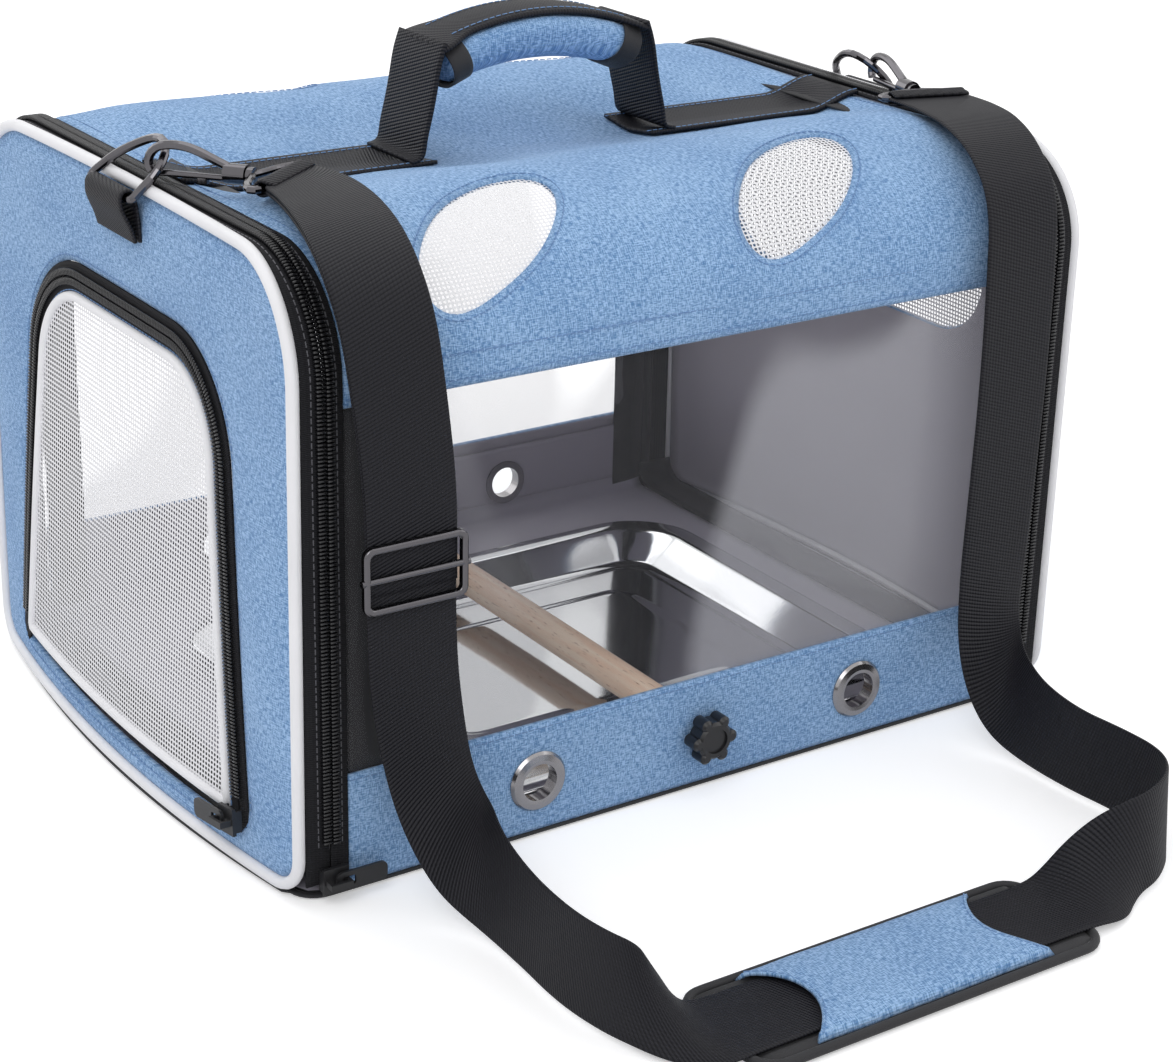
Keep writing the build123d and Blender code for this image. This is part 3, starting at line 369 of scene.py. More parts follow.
def ribbonPiece(name, middle, across, width, thick, crown=0.0, columns=8, layers=(0.0,)):
    # flat webbing round its middle line, with rounded selvages; across is its width's direction
    middle = np.array(middle, float)
    across = np.broadcast_to(np.array(across, float), middle.shape)
    across = across / np.linalg.norm(across, axis=1)[:, None]
    face = np.cross(headings(middle), across)
    face /= np.linalg.norm(face, axis=1)[:, None]
    run = runAlong(middle)
    w = width if hasattr(width, "__len__") else np.full(len(middle), width)
    ring = [(-1, 0), (-0.985, 0.36), (-0.95, 0.5)]
    ring += [(-0.95 + 1.9 * k / columns, 0.5) for k in range(1, columns)]
    ring += [(0.95, 0.5), (0.985, 0.36), (1, 0), (0.985, -0.36), (0.95, -0.5)]
    ring += [(0.95 - 1.9 * k / columns, -0.5) for k in range(1, columns)]
    ring += [(-0.95, -0.5), (-0.985, -0.36)]
    made = []
    for number, shift in enumerate(layers):
        rows, uvRows = [], []
        for i in range(len(middle)):
            rows.append([
                middle[i] + across[i] * a * w[i] / 2 + face[i] * (shift + b * thick + crown * (1 - a * a))
                for a, b in ring
            ])
            uvRows.append([(a * 19 + 20, run[i]) for a, b in ring])
        obj = gridPiece(name if not number else f"{name}{number}", rows, uvRows, closedRound=True)
        made.append(pointOutwards(fillEnds(obj)))
    return joinPieces(made) if len(made) > 1 else made[0]


def joinPieces(pieces):
    with bpy.context.temp_override(active_object=pieces[0], selected_editable_objects=pieces):
        bpy.ops.object.join()
    return pieces[0]


# rows of repeated things along a line


def rowTree():
    # a mesh line read as a curve, with a piece at even steps: its y along the line, its z outwards
    tree = bpy.data.node_groups.new("rowAlongLine", "GeometryNodeTree")
    names = {}
    for label, kind, way in (
        ("Geometry", "Geometry", "INPUT"), ("Piece", "Object", "INPUT"), ("Spacing", "Float", "INPUT"),
        ("Finish", "Material", "INPUT"), ("Geometry", "Geometry", "OUTPUT"),
    ):
        socket = tree.interface.new_socket(name=label, in_out=way, socket_type="NodeSocket" + kind)
        names[label] = socket.identifier
    kinds = dict(
        start="NodeGroupInput", end="NodeGroupOutput", line="GeometryNodeMeshToCurve",
        steps="GeometryNodeResampleCurve", piece="GeometryNodeObjectInfo",
        spread="GeometryNodeInstanceOnPoints", along="GeometryNodeInputTangent",
        outward="GeometryNodeInputNamedAttribute", first="FunctionNodeAlignRotationToVector",
        second="FunctionNodeAlignRotationToVector", real="GeometryNodeRealizeInstances",
        finish="GeometryNodeSetMaterial",
    )
    node = {name: tree.nodes.new(kind) for name, kind in kinds.items()}
    node["steps"].mode = "LENGTH"
    node["outward"].data_type = "FLOAT_VECTOR"
    node["outward"].inputs["Name"].default_value = "outward"
    node["first"].axis = "Y"
    node["second"].axis, node["second"].pivot_axis = "Z", "Y"
    for source, given, target, taken in (
        ("start", "Geometry", "line", "Mesh"), ("line", "Curve", "steps", "Curve"),
        ("start", "Spacing", "steps", "Length"), ("start", "Piece", "piece", "Object"),
        ("along", "Tangent", "first", "Vector"), ("first", "Rotation", "second", "Rotation"),
        ("outward", "Attribute", "second", "Vector"), ("steps", "Curve", "spread", "Points"),
        ("piece", "Geometry", "spread", "Instance"), ("second", "Rotation", "spread", "Rotation"),
        ("spread", "Instances", "real", "Geometry"), ("real", "Geometry", "finish", "Geometry"),
        ("start", "Finish", "finish", "Material"), ("finish", "Geometry", "end", "Geometry"),
    ):
        tree.links.new(node[source].outputs[given], node[target].inputs[taken])
    return tree, names


alongLine, alongLineInputs = rowTree()


def rowPiece(name, rows, piece, spacing, look, body, replaced=()):
    # rows are (points, outward directions, closed); one plain mesh comes back
    points, outward, edges = [], [], []
    for line, out, closed in rows:
        start, n = len(points), len(line)
        points += [tuple(float(c) * mm for c in p) for p in line]
        outward += [tuple(map(float, o)) for o in out]
        edges += [(start + i, start + (i + 1) % n) for i in range(n if closed else n - 1)]
    mesh = bpy.data.meshes.new(name)
    mesh.from_pydata(points, edges, [])
    attribute = mesh.attributes.new("outward", "FLOAT_VECTOR", "POINT")
    attribute.data.foreach_set("vector", np.array(outward).ravel())
    obj = bpy.data.objects.new(name, mesh)
    scene.collection.objects.link(obj)
    step = obj.modifiers.new("row", "NODES")
    step.node_group = alongLine
    step[alongLineInputs["Piece"]] = piece
    step[alongLineInputs["Spacing"]] = spacing * mm
    step[alongLineInputs["Finish"]] = finish[look]
    settle(obj)
    obj.data.materials.clear()
    if "outward" in obj.data.attributes:
        obj.data.attributes.remove(obj.data.attributes["outward"])
    return dress(obj, body, look, replaced)


def smallPiece(name, size, bevel, shift=(0, 0, 0)):
    # a rounded block used many times: x across, y along the row, z outwards
    work = bmesh.new()
    bmesh.ops.create_cube(work, size=1)
    bmesh.ops.scale(work, vec=[s * mm for s in size], verts=work.verts)
    bmesh.ops.bevel(work, geom=work.edges[:], offset=bevel * mm, segments=1, affect="EDGES")
    bmesh.ops.translate(work, vec=[s * mm for s in shift], verts=work.verts)
    mesh = bpy.data.meshes.new(name)
    work.to_mesh(mesh)
    work.free()
    mesh.shade_smooth()
    obj = bpy.data.objects.new(name, mesh)
    return obj


# finishes


def shaderGroup(name, inputs, outputs, build):
    group = bpy.data.node_groups.new(name, "ShaderNodeTree")
    for label, kind, value in inputs:
        socket = group.interface.new_socket(name=label, in_out="INPUT", socket_type=kind)
        if value is not None:
            socket.default_value = value
    for label in outputs:
        group.interface.new_socket(name=label, in_out="OUTPUT", socket_type="NodeSocketFloat")
    start, end = group.nodes.new("NodeGroupInput"), group.nodes.new("NodeGroupOutput")
    build(group, start, end)
    return group


def feed(tree, value, socket):
    # a number or colour is written on the socket, and anything else is linked to it
    if isinstance(value, (int, float)):
        socket.default_value = value
    elif isinstance(value, (tuple, list)):
        socket.default_value = (*value, 1)
    else:
        tree.links.new(value, socket)


def mathNode(tree, kind, *values):
    node = tree.nodes.new("ShaderNodeMath")
    node.operation = kind
    for socket, value in zip(node.inputs, values):
        feed(tree, value, socket)
    return node.outputs[0]


def weighted(tree, *terms, offset=0.0):
    # the sum of value, weight pairs
    for value, weight in terms:
        offset = mathNode(tree, "MULTIPLY_ADD", value, weight, offset)
    return offset


def noiseNode(tree, vector, scale, detail=2.0, rough=0.5):
    node = tree.nodes.new("ShaderNodeTexNoise")
    for socket, value in (("Scale", scale), ("Detail", detail), ("Roughness", rough), ("Vector", vector)):
        feed(tree, value, node.inputs[socket])
    return node.outputs["Fac"]


def stretched(tree, vector, scale):
    node = tree.nodes.new("ShaderNodeMapping")
    node.inputs["Scale"].default_value = scale
    tree.links.new(vector, node.inputs["Vector"])
    return node.outputs["Vector"]


def planeOf(tree, vector):
    # a pattern's two coordinates
    node = tree.nodes.new("ShaderNodeSeparateXYZ")
    tree.links.new(vector, node.inputs[0])
    return node.outputs["X"], node.outputs["Y"]


def mixColor(tree, factor, a, b, blend="MIX"):
    node = tree.nodes.new("ShaderNodeMix")
    node.data_type, node.blend_type = "RGBA", blend
    feed(tree, factor, node.inputs["Factor"])
    for socket, value in zip([s for s in node.inputs if s.type == "RGBA"], (a, b)):
        feed(tree, value, socket)
    return [s for s in node.outputs if s.type == "RGBA"][0]


def ramp(tree, value, low, high):
    node = tree.nodes.new("ShaderNodeMapRange")
    node.interpolation_type = "SMOOTHSTEP"
    for socket, given in (("From Min", low), ("From Max", high), ("Value", value)):
        feed(tree, given, node.inputs[socket])
    return node.outputs["Result"]


def weaveBuild(tree, start, end):
    # crossing yarns, as a height
    calc = partial(mathNode, tree)
    turns = calc("DIVIDE", math.pi, start.outputs["Yarn"])
    plane = planeOf(tree, start.outputs["Vector"])
    waves = [calc("ABSOLUTE", calc("SINE", calc("MULTIPLY", c, turns))) for c in plane]
    tree.links.new(calc("MULTIPLY", *waves), end.inputs["Height"])


def heatherBuild(tree, start, end):
    # uneven yarn colours: short streaks both ways, and slow cloudiness
    vector = start.outputs["Vector"]
    scales = (2000, 400, 1), (380, 2000, 1)
    across, down = (noiseNode(tree, stretched(tree, vector, scale), 1, 2) for scale in scales)
    cloud = noiseNode(tree, vector, 22, 2)
    mixed = weighted(tree, (across, 0.5), (down, 0.5), (cloud, 0.12), offset=-0.06)
    tree.links.new(ramp(tree, mixed, 0.39, 0.61), end.inputs["Fleck"])
    tree.links.new(cloud, end.inputs["Cloud"])


def handledBuild(tree, start, end):
    # slow smears and fine scuffs that change how rough a smooth face is
    coords = tree.nodes.new("ShaderNodeTexCoord").outputs["Object"]
    slow, fine = noiseNode(tree, coords, 30, 3), noiseNode(tree, coords, 900, 2)
    spread = weighted(tree, (slow, 0.7), (fine, 0.3), offset=-0.5)
    rough = mathNode(tree, "MULTIPLY_ADD", spread, start.outputs["Amount"], start.outputs["Base"])
    tree.links.new(rough, end.inputs["Roughness"])
    tree.links.new(fine, end.inputs["Fine"])


def holesBuild(tree, start, end):
    # open mesh: 1 on the threads and 0 in the holes
    calc = partial(mathNode, tree)
    turns = calc("DIVIDE", 1.0, start.outputs["Pitch"])
    off = [
        calc("POWER", calc("ABSOLUTE", calc("SUBTRACT", calc("FRACT", calc("MULTIPLY", c, turns)), 0.5)), 3.0)
        for c in planeOf(tree, start.outputs["Vector"])
    ]
    edge = calc("SUBTRACT", calc("POWER", calc("ADD", *off), 1 / 3), start.outputs["Hole"])
    tree.links.new(ramp(tree, edge, -0.02, 0.03), end.inputs["Thread"])


point3, number = "NodeSocketVector", "NodeSocketFloat"
vectorInput = ("Vector", point3, None)
weaveGroup = shaderGroup("weave", [vectorInput, ("Yarn", number, 0.0005)], ["Height"], weaveBuild)
heatherGroup = shaderGroup("heather", [vectorInput], ["Fleck", "Cloud"], heatherBuild)
handledGroup = shaderGroup("handled", [("Base", number, 0.4), ("Amount", number, 0.2)], ["Roughness", "Fine"],
                           handledBuild)
holesGroup = shaderGroup("meshHoles", [vectorInput, ("Pitch", number, 0.0014), ("Hole", number, 0.3)],
                         ["Thread"], holesBuild)


def newFinish(name, **values):
    material = bpy.data.materials.new(name)
    material.use_nodes = True
    tree = material.node_tree
    shader = tree.nodes["Principled BSDF"]
    for socket, value in values.items():
        shader.inputs[socket.replace("_", " ")].default_value = value
    return material, tree, shader


def useGroup(tree, group, vector=None, **values):
    node = tree.nodes.new("ShaderNodeGroup")
    node.node_tree = group
    for socket, value in values.items():
        node.inputs[socket].default_value = value
    if vector is not None:
        tree.links.new(vector, node.inputs["Vector"])
    return node


def uvOf(tree):
    return tree.nodes.new("ShaderNodeTexCoord").outputs["UV"]


def bumpInto(tree, shader, height, strength, distance):
    node = tree.nodes.new("ShaderNodeBump")
    for socket, value in (("Strength", strength), ("Distance", distance), ("Height", height)):
        feed(tree, value, node.inputs[socket])
    tree.links.new(node.outputs["Normal"], shader.inputs["Normal"])


def baseColor(tree, shader, factor, color, low=0.86):
    # the colour, dimmer where the factor is low
    dim = [c * low for c in color]
    tree.links.new(mixColor(tree, factor, dim, color), shader.inputs["Base Color"])


def denimFinish(name, dark, light, yarn=0.00055):
    material, tree, shader = newFinish(name, Roughness=0.82, Sheen_Weight=0.12, Sheen_Roughness=0.5)
    uv = uvOf(tree)
    heather, weave = useGroup(tree, heatherGroup, uv), useGroup(tree, weaveGroup, uv, Yarn=yarn)
    tone = mixColor(tree, heather.outputs["Fleck"], dark, light)
    shade = mathNode(tree, "MULTIPLY_ADD", weave.outputs["Height"], 0.3, 0.8)
    tree.links.new(mixColor(tree, 1.0, tone, shade, "MULTIPLY"), shader.inputs["Base Color"])
    bumpInto(tree, shader, weave.outputs["Height"], 0.5, 0.0003)
    return material


def ribbedFinish(name, color, light, rib, rough):
    # woven ribs across a strap, each broken into slanting floats; the rib crests are painted lighter and the
    # grooves darker, a painted sheen and painted shade mixed with random tone
    material, tree, shader = newFinish(name, Roughness=rough, Specular_IOR_Level=0.22)
    calc, uv = partial(mathNode, tree), uvOf(tree)
    x, y = planeOf(tree, uv)
    lean = calc("MULTIPLY_ADD", x, 0.35, y)
    ribs, floats = (calc("ABSOLUTE", calc("SINE", calc("MULTIPLY", line, math.pi / pitch)))
                    for line, pitch in ((lean, rib), (x, 0.0016)))
    height = weighted(tree, (ribs, 0.75), (floats, 0.25))
    # painted sheen on the rib crests and painted shade in the grooves, mixed with random tone from the noise
    level = weighted(tree, (height, 0.7), (noiseNode(tree, uv, 1800, 2), 0.3))
    tree.links.new(mixColor(tree, level, color, light), shader.inputs["Base Color"])
    bumpInto(tree, shader, height, 0.8, 0.0006)
    return material


def meshFinish(name, color, pitch, hole):
    material, tree, shader = newFinish(name, Roughness=0.6, Sheen_Weight=0.1)
    uv = uvOf(tree)
    thread = useGroup(tree, holesGroup, uv, Pitch=pitch, Hole=hole).outputs["Thread"]
    baseColor(tree, shader, noiseNode(tree, uv, 1500, 2), color)
    tree.links.new(thread, shader.inputs["Alpha"])
    bumpInto(tree, shader, thread, 0.4, 0.0003)
    return material


def metalFinish(name, color, rough, amount=0.12, metallic=1.0):
    material, tree, shader = newFinish(name, Metallic=metallic)
    handled = useGroup(tree, handledGroup, Base=rough, Amount=amount)
    baseColor(tree, shader, handled.outputs["Fine"], color, 0.88)
    tree.links.new(handled.outputs["Roughness"], shader.inputs["Roughness"])
    bumpInto(tree, shader, handled.outputs["Fine"], 0.05, 0.0001)
    return material


def smoothCloth(name, color, rough=0.55, yarn=0.0004, sheen=0.1):
    material, tree, shader = newFinish(name, Roughness=rough, Sheen_Weight=sheen)
    uv = uvOf(tree)
    baseColor(tree, shader, useGroup(tree, heatherGroup, uv).outputs["Cloud"], color, 0.85)
    bumpInto(tree, shader, useGroup(tree, weaveGroup, uv, Yarn=yarn).outputs["Height"], 0.3, 0.0002)
    return material


finish = dict(
    denim=denimFinish("denim", (0.10, 0.25, 0.53), (0.41, 0.63, 0.93)),
    # the second colour of each ribbed finish is the painted sheen on the rib crests
    webbing=ribbedFinish("webbing", (0.0015, 0.0015, 0.0022), (0.017, 0.017, 0.023), 0.0015, 0.52),
    tape=ribbedFinish("zipTape", (0.004, 0.004, 0.005), (0.02, 0.02, 0.024), 0.0008, 0.75),
    piping=smoothCloth("piping", (0.94, 0.94, 0.97), 0.5),
    lining=smoothCloth("lining", (0.46, 0.44, 0.52), 0.34, 0.0003, 0.2),
    binding=smoothCloth("binding", (0.012, 0.012, 0.015), 0.7),
    thread=smoothCloth("thread", (0.16, 0.30, 0.56), 0.7),
    paleThread=smoothCloth("paleThread", (0.10, 0.10, 0.115), 0.6),
    vent=meshFinish("ventMesh", (0.88, 0.88, 0.91), 0.0019, 0.31),
    screen=meshFinish("doorMesh", (0.90, 0.90, 0.93), 0.0021, 0.30),
    coil=metalFinish("zipCoil", (0.012, 0.012, 0.014), 0.24, 0.12, 0.0),
    gunmetal=metalFinish("gunmetal", (0.145, 0.14, 0.15), 0.14),
    eyeletMetal=metalFinish("eyeletMetal", (0.36, 0.35, 0.36), 0.2),
    blackMetal=metalFinish("blackMetal", (0.018, 0.018, 0.02), 0.38, 0.2, 0.0),
    blackPlastic=metalFinish("blackPlastic", (0.014, 0.014, 0.016), 0.32, 0.2, 0.0),
    brass=metalFinish("brass", (0.62, 0.46, 0.2), 0.3),
    steel=metalFinish("steel", (0.66, 0.67, 0.69), 0.09, 0.06),
    board=metalFinish("board", (0.3, 0.3, 0.31), 0.7, 0.2, 0.0),
)


def beechFinish():
    material, tree, shader = newFinish("beech", Roughness=0.55)
    coords = tree.nodes.new("ShaderNodeTexCoord").outputs["Object"]
    grain = noiseNode(tree, stretched(tree, coords, (260, 12, 260)), 1, 4, 0.6)
    flecks = noiseNode(tree, stretched(tree, coords, (1400, 160, 1400)), 1, 2)
    tone = mixColor(tree, ramp(tree, grain, 0.35, 0.65), (0.88, 0.62, 0.45), (0.95, 0.77, 0.61))
    tone = mixColor(tree, ramp(tree, flecks, 0.62, 0.75), tone, (0.42, 0.22, 0.13))
    tree.links.new(tone, shader.inputs["Base Color"])
    bumpInto(tree, shader, grain, 0.15, 0.0004)
    return material


def vinylFinish():
    # nearly clear, with a painted reflection: broad pale patches where the sheet turns milky
    values = dict(Roughness=0.05, IOR=1.5, Base_Color=(0.78, 0.78, 0.84, 1))
    material, tree, shader = newFinish("clearVinyl", **values)
    coords = tree.nodes.new("ShaderNodeTexCoord").outputs["Object"]
    # painted reflection: broad pale patches of milky opacity laid over the clear sheet
    paintedReflectionPatches = ramp(tree, noiseNode(tree, stretched(tree, coords, (6.5, 5, 3.6)), 1, 1), 0.53, 0.58)
    tree.links.new(mathNode(tree, "MULTIPLY_ADD", paintedReflectionPatches, 0.16, 0.02), shader.inputs["Alpha"])
    bumpInto(tree, shader, noiseNode(tree, coords, 14, 2), 0.25, 0.004)
    return material


finish["beech"], finish["vinyl"] = beechFinish(), vinylFinish()
print("finishes made")

# the carrier's own surfaces


def endBow(z):
    return carrier["footBow"] + endLean * z


def faceX(y, z):
    # how far out an end panel's face is
    return carrier["halfLength"] + endBow(z) * (1 - (y / carrier["bowHalf"]) ** 2)


def hoopLine(inset, foot, spacing=3.0):
    # the end outline up the front, over the top and down the back, with its outward directions
    side, top, r = carrier["halfWidth"] - inset, carrier["height"] - inset, carrier["topRadius"] - inset
    turns = np.linspace(0, math.pi / 2, 24)[1:]
    line = [(-side, z) for z in np.linspace(foot, top - r, 60)]
    line += [(-side + r - r * math.cos(a), top - r + r * math.sin(a)) for a in turns]
    line += [(y, top) for y in np.linspace(-side + r, side - r, 60)[1:]]
    line += [(side - r + r * math.sin(a), top - r + r * math.cos(a)) for a in turns]
    line += [(side, z) for z in np.linspace(top - r, foot, 60)[1:]]
    line = evenSteps(line, spacing)
    tangent = headings(line)
    return line, np.stack([-tangent[:, 1], tangent[:, 0]], 1)


roofShape = dict(
    half=[(-145, 199), (-144.5, 212), (-138, 228), (-115, 248), (-77, 257), (-37, 248), (0, 242)],
    thick=2.4, endSoft=26, stitchRows=(3.0, 13.0), endStitches=163,
)


def roofLine():
    half = smoothLine(roofShape["half"], 2.0)
    full = np.vstack([[(-145, 197)], half, [(-y, z) for y, z in half[::-1][1:]], [(145, 197)]])
    return evenSteps(full, 2.0)


roofProfile = roofLine()
endProfile = evenSteps(hoopLine(0, carrier["windowTop"], 2.0)[0], 2.0)
roofRun = runLength(roofProfile)
pick = np.linspace(0, 1, 400)


def alongProfile(profile):
    run = runAlong(profile)
    return np.stack([np.interp(pick * run[-1], run, profile[:, i]) for i in range(2)], 1)


roofTable, endTable = alongProfile(roofProfile), alongProfile(endProfile)


def onRoof(s, x, lift=0.0):
    # point and outward direction on the roof, s along it from the front hem and x along the carrier
    s, x = np.asarray(s, float), np.asarray(x, float)
    w = ease((np.abs(x) - (end - roofShape["endSoft"])) / roofShape["endSoft"]) * 0.94

    def at(sv):
        t = sv / roofRun
        a = np.stack([np.interp(t, pick, roofTable[:, i]) for i in range(2)], -1)
        b = np.stack([np.interp(t, pick, endTable[:, i]) for i in range(2)], -1)
        return a * (1 - w[..., None]) + b * w[..., None]

    here, ahead, behind = at(s), at(np.minimum(s + 1, roofRun)), at(np.maximum(s - 1, 0))
    tangent = ahead - behind
    tangent /= np.linalg.norm(tangent, axis=-1)[..., None]
    normal = np.stack([np.zeros_like(x), -tangent[..., 1], tangent[..., 0]], -1)
    point = np.stack([x, here[..., 0], here[..., 1]], -1)
    return point + normal * np.asarray(lift)[..., None], normal


def roofS(y, z):
    # where along the roof a point of its outline lies
    d = np.linalg.norm(roofTable - np.array((y, z)), axis=1)
    return pick[int(d.argmin())] * roofRun


def onEnd(hand, depth=0.0):
    # y, z pattern on an end panel's outer face
    def place(y, z):
        slopeY = -2 * endBow(z) * y / carrier["bowHalf"] ** 2
        slopeZ = endLean * (1 - (y / carrier["bowHalf"]) ** 2)
        n = np.stack([np.ones_like(y) * hand, -slopeY, -slopeZ], 1)
        n /= np.linalg.norm(n, axis=1)[:, None]
        return np.stack([hand * (faceX(y, z) - depth), y, z], 1), n
    return place


def onSide(face, depth=0.0):
    # x, z pattern on the front or back
    def place(x, z):
        y = np.full_like(x, face * (carrier["halfWidth"] - depth))
        n = np.tile((0.0, float(face), 0.0), (len(x), 1))
        return np.stack([x, y, z], 1), n
    return place


def endRow(hand, loop, depth, closed=True, spacing=3.0):
    # a line on an end panel, with its outward directions
    flat = evenSteps(loop, spacing, closed)
    points, normals = onEnd(hand, depth)(flat[:, 0], flat[:, 1])
    return points, normals, closed


def panelLoop(inset):
    side = carrier["halfWidth"] - carrier["pipingIn"] - inset
    foot = 1.8 + 0.4 + carrier["pipingRadius"] + inset
    top = carrier["height"] - carrier["pipingIn"] - inset
    r, q = carrier["topRadius"] - carrier["pipingIn"] - inset, max(carrier["footRadius"] - inset, 2)
    return roundedLoop([(-side, foot, q), (side, foot, q), (side, top, r), (-side, top, r)])


door = dict(
    halfFoot=106, halfTop=84, top=199, foot=16, radius=46, footRadius=6, rim=8.2, rimRadius=2.1,
    rimDepth=0.6, screen=9.4, screenDepth=1.2, pitch=1.45, coilFoot=14, flapFoot=13,
)
view = dict(half=92, foot=150, top=216, radius=30)


def doorLoop(inset, foot=None):
    f, t, hi = door["halfFoot"] - inset, door["halfTop"] - inset, door["top"] - inset
    lo = door["foot"] + inset if foot is None else foot
    q = max(door["footRadius"] - inset, 0.8)
    r = max(door["radius"] - inset, 2)
    return roundedLoop([(-f, lo, q), (f, lo, q), (t, hi, r), (-t, hi, r)])


def viewLoop(inset):
    a, r = view["half"] - inset, view["radius"] - inset
    lo, hi = view["foot"] + inset, view["top"] - inset
    return roundedLoop([(-a, lo, r), (a, lo, r), (a, hi, r), (-a, hi, r)])


# small pieces that repeat

stitch = smallPiece("stitchShape", (0.5, 2.3, 0.4), 0.12)
coilTooth = dict(width=3.4, along=1.05, high=2.2, pitch=1.55)
zipTooth = smallPiece("toothShape", (coilTooth["width"], coilTooth["along"], coilTooth["high"]), 0.35)
doorTooth = smallPiece("doorToothShape", (3.1, 0.95, 1.3), 0.3)
stitchStep, threadRows = 3.1, {}


def addStitches(body, line, out, closed=False, pale=False):
    threadRows.setdefault((body, pale), []).append((line, np.broadcast_to(out, (len(line), 3)), closed))


# base

base = dict(corner=12, fabricIn=3.4, fabricZ=0.2, fabricThick=1.5, bindingIn=1.6, bindingZ=0.95, binding=1.6)


def baseLoop(inset):
    out, side, bow = carrier["halfLength"] - inset, carrier["halfWidth"] - inset, carrier["footBow"]
    line = [(-out, -side), (out, -side)]
    line += [(out + bow * (1 - (y / side) ** 2), y) for y in np.linspace(-side, side, 40)[1:-1]]
    line += [(out, side), (-out, side)]
    line += [(-out - bow * (1 - (y / side) ** 2), y) for y in np.linspace(side, -side, 40)[1:-1]]
    r = base["corner"] - inset * 0.5
    loop = []
    for x, y in evenSteps(line, 3.0, True):
        # the four corners are rounded
        cx, cy = out - r, side - r
        if abs(x) > cx and abs(y) > cy:
            d = Vector((abs(x) - cx, abs(y) - cy))
            if d.length > r:
                d = d.normalized() * r
            x, y = math.copysign(cx + d.x, x), math.copysign(cy + d.y, y)
        loop.append((x, y))
    return loop


def flatAt(z, up):
    def place(x, y):
        return np.stack([x, y, np.full_like(x, z)], 1), np.tile((0.0, 0.0, float(up)), (len(x), 1))
    return place


obj = clothPiece("baseFabric", baseLoop(base["fabricIn"]), [], flatAt(base["fabricZ"], -1),
                 base["fabricThick"], 12)
dress(obj, "carrier", ["binding", "lining"], ["base_fabric"])
line = [(x, y, base["bindingZ"]) for x, y in baseLoop(base["bindingIn"])]
obj = tubePiece("bottomBinding", line, base["binding"], closed=True, sides=10, flatten=0.55)
dress(obj, "carrier", "binding", ["bottom_binding"])


def strip(name, profile, x0, x1, thick, body, looks, replaced=(), step=6.0, wave=0.0, seed=0.0):
    # cloth bent along a y, z profile and straight along x
    profile = np.array(profile, float)
    run, tangent = runAlong(profile), headings(profile)
    normal = np.stack([-tangent[:, 1], tangent[:, 0]], 1)
    xs = np.linspace(x0, x1, max(2, int(abs(x1 - x0) / step) + 1))
    rows, uvRows = [], []
    for (y, z), (ny, nz), s in zip(profile, normal, run):
        lifts = [wave * soft(x, s, 0, 40, seed) for x in xs]
        rows.append([(x, y + ny * k, z + nz * k) for x, k in zip(xs, lifts)])
        uvRows.append([(x, s) for x in xs])
    obj = gridPiece(name, rows, uvRows)
    faceTowards(obj, (0, *normal[len(profile) // 2]))
    thicken(obj, thick, cloth=True)
    return dress(obj, body, looks, replaced)


liner = dict(half=167, thick=0.9, wall=[(-141.4, 14), (-140.9, 9.6), (-138, 7.2), (-100, 6.9), (0, 6.9)])
section = liner["wall"] + [(-y, z) for y, z in liner["wall"][-2::-1]]
strip("floorLining", evenSteps(section, 4.0), -liner["half"], liner["half"], liner["thick"], "carrier",
      ["lining", "lining"], ["floor_lining"])

# front and back

band = dict(
    foot=2.0, thick=2.3, holeX=82, holeZ=24.5, hole=9.1, studHole=3.5, seamY=144.6, liningIn=2.9,
    liningThick=0.7, liningFoot=13.5, liningTop=43.5, topSeam=2.4, footSeam=5,
)
window = dict(depth=142.8, thick=0.5, foot=44, top=203, calm=16, wave=1.1)


def boxLoop(half, low, high):
    return [(-half, low), (half, low), (half, high), (-half, high)]


for face, side in walls:
    holes = [circleLoop(x, band["holeZ"], band["hole"]) for x in (-band["holeX"], band["holeX"])]
    holes.append(circleLoop(0, band["holeZ"], band["studHole"], 16))
    obj = clothPiece(f"{side}Band", boxLoop(end, band["foot"], carrier["bandTop"]), holes, onSide(face),
                     band["thick"], 4.0, sink=0.9, reach=3.0, wave=0.8, waveSize=45, seed=face * 3.0)
    dress(obj, "carrier", ["denim", "lining"], [f"{side}_lower_band"])
    obj = clothPiece(f"{side}Lining", boxLoop(end - 1, band["liningFoot"], band["liningTop"]), holes,
                     onSide(face, band["liningIn"]), band["liningThick"], 5.0)
    dress(obj, "carrier", "lining")
    xs = np.linspace(2 - end, end - 2, 120)
    for z in (carrier["bandTop"] - band["topSeam"], band["foot"] + band["footSeam"]):
        addStitches("carrier", [(x, face * band["seamY"], z) for x in xs], (0, face, 0))

for face, side in walls:
    xs, zs = np.linspace(-end, end, 68), np.linspace(window["foot"], window["top"], 34)
    rows = []
    for z in zs:
        row = []
        for x in xs:
            k = 1 - math.exp(-min(end - abs(x), z - window["foot"], window["top"] - z) / window["calm"])
            folds = 1 + soft(x, z, 0, 70, 5 + face) + 0.35 * soft(x, z * 0.4, 0, 24, 9)
            row.append((x, face * (window["depth"] - k - window["wave"] * k * folds), z))
        rows.append(row)
    obj = gridPiece(f"{side}Window", rows, [[(x, z) for x in xs] for z in zs])
    faceTowards(obj, (0, face, 0), 0)
    thicken(obj, window["thick"])
    dress(obj, "carrier", "vinyl", [f"{side}_window"])
print("base, bands and windows made")

# roof

vent = dict(
    xs=(-90, 56), y=116, z=241, behind=2.0, under=5.0, stitchOut=2.6,
    leaf=[(33, 32), (38, 18), (18, -10), (-8, -26), (-30, -31), (-38, -19), (-24, 7), (4, 27)],
)
leaf = smoothLine(vent["leaf"], 2.0, closed=True)


def leafLoop(x, face, grow=0.0):
    s = roofS(face * vent["y"], vent["z"])
    if grow:
        tangent = np.roll(leaf, -1, 0) - np.roll(leaf, 1, 0)
        tangent /= np.linalg.norm(tangent, axis=1)[:, None]
        shape = leaf + np.stack([tangent[:, 1], -tangent[:, 0]], 1) * grow * leafTurn
    else:
        shape = leaf
    return [(s - face * v, x + u) for u, v in shape]


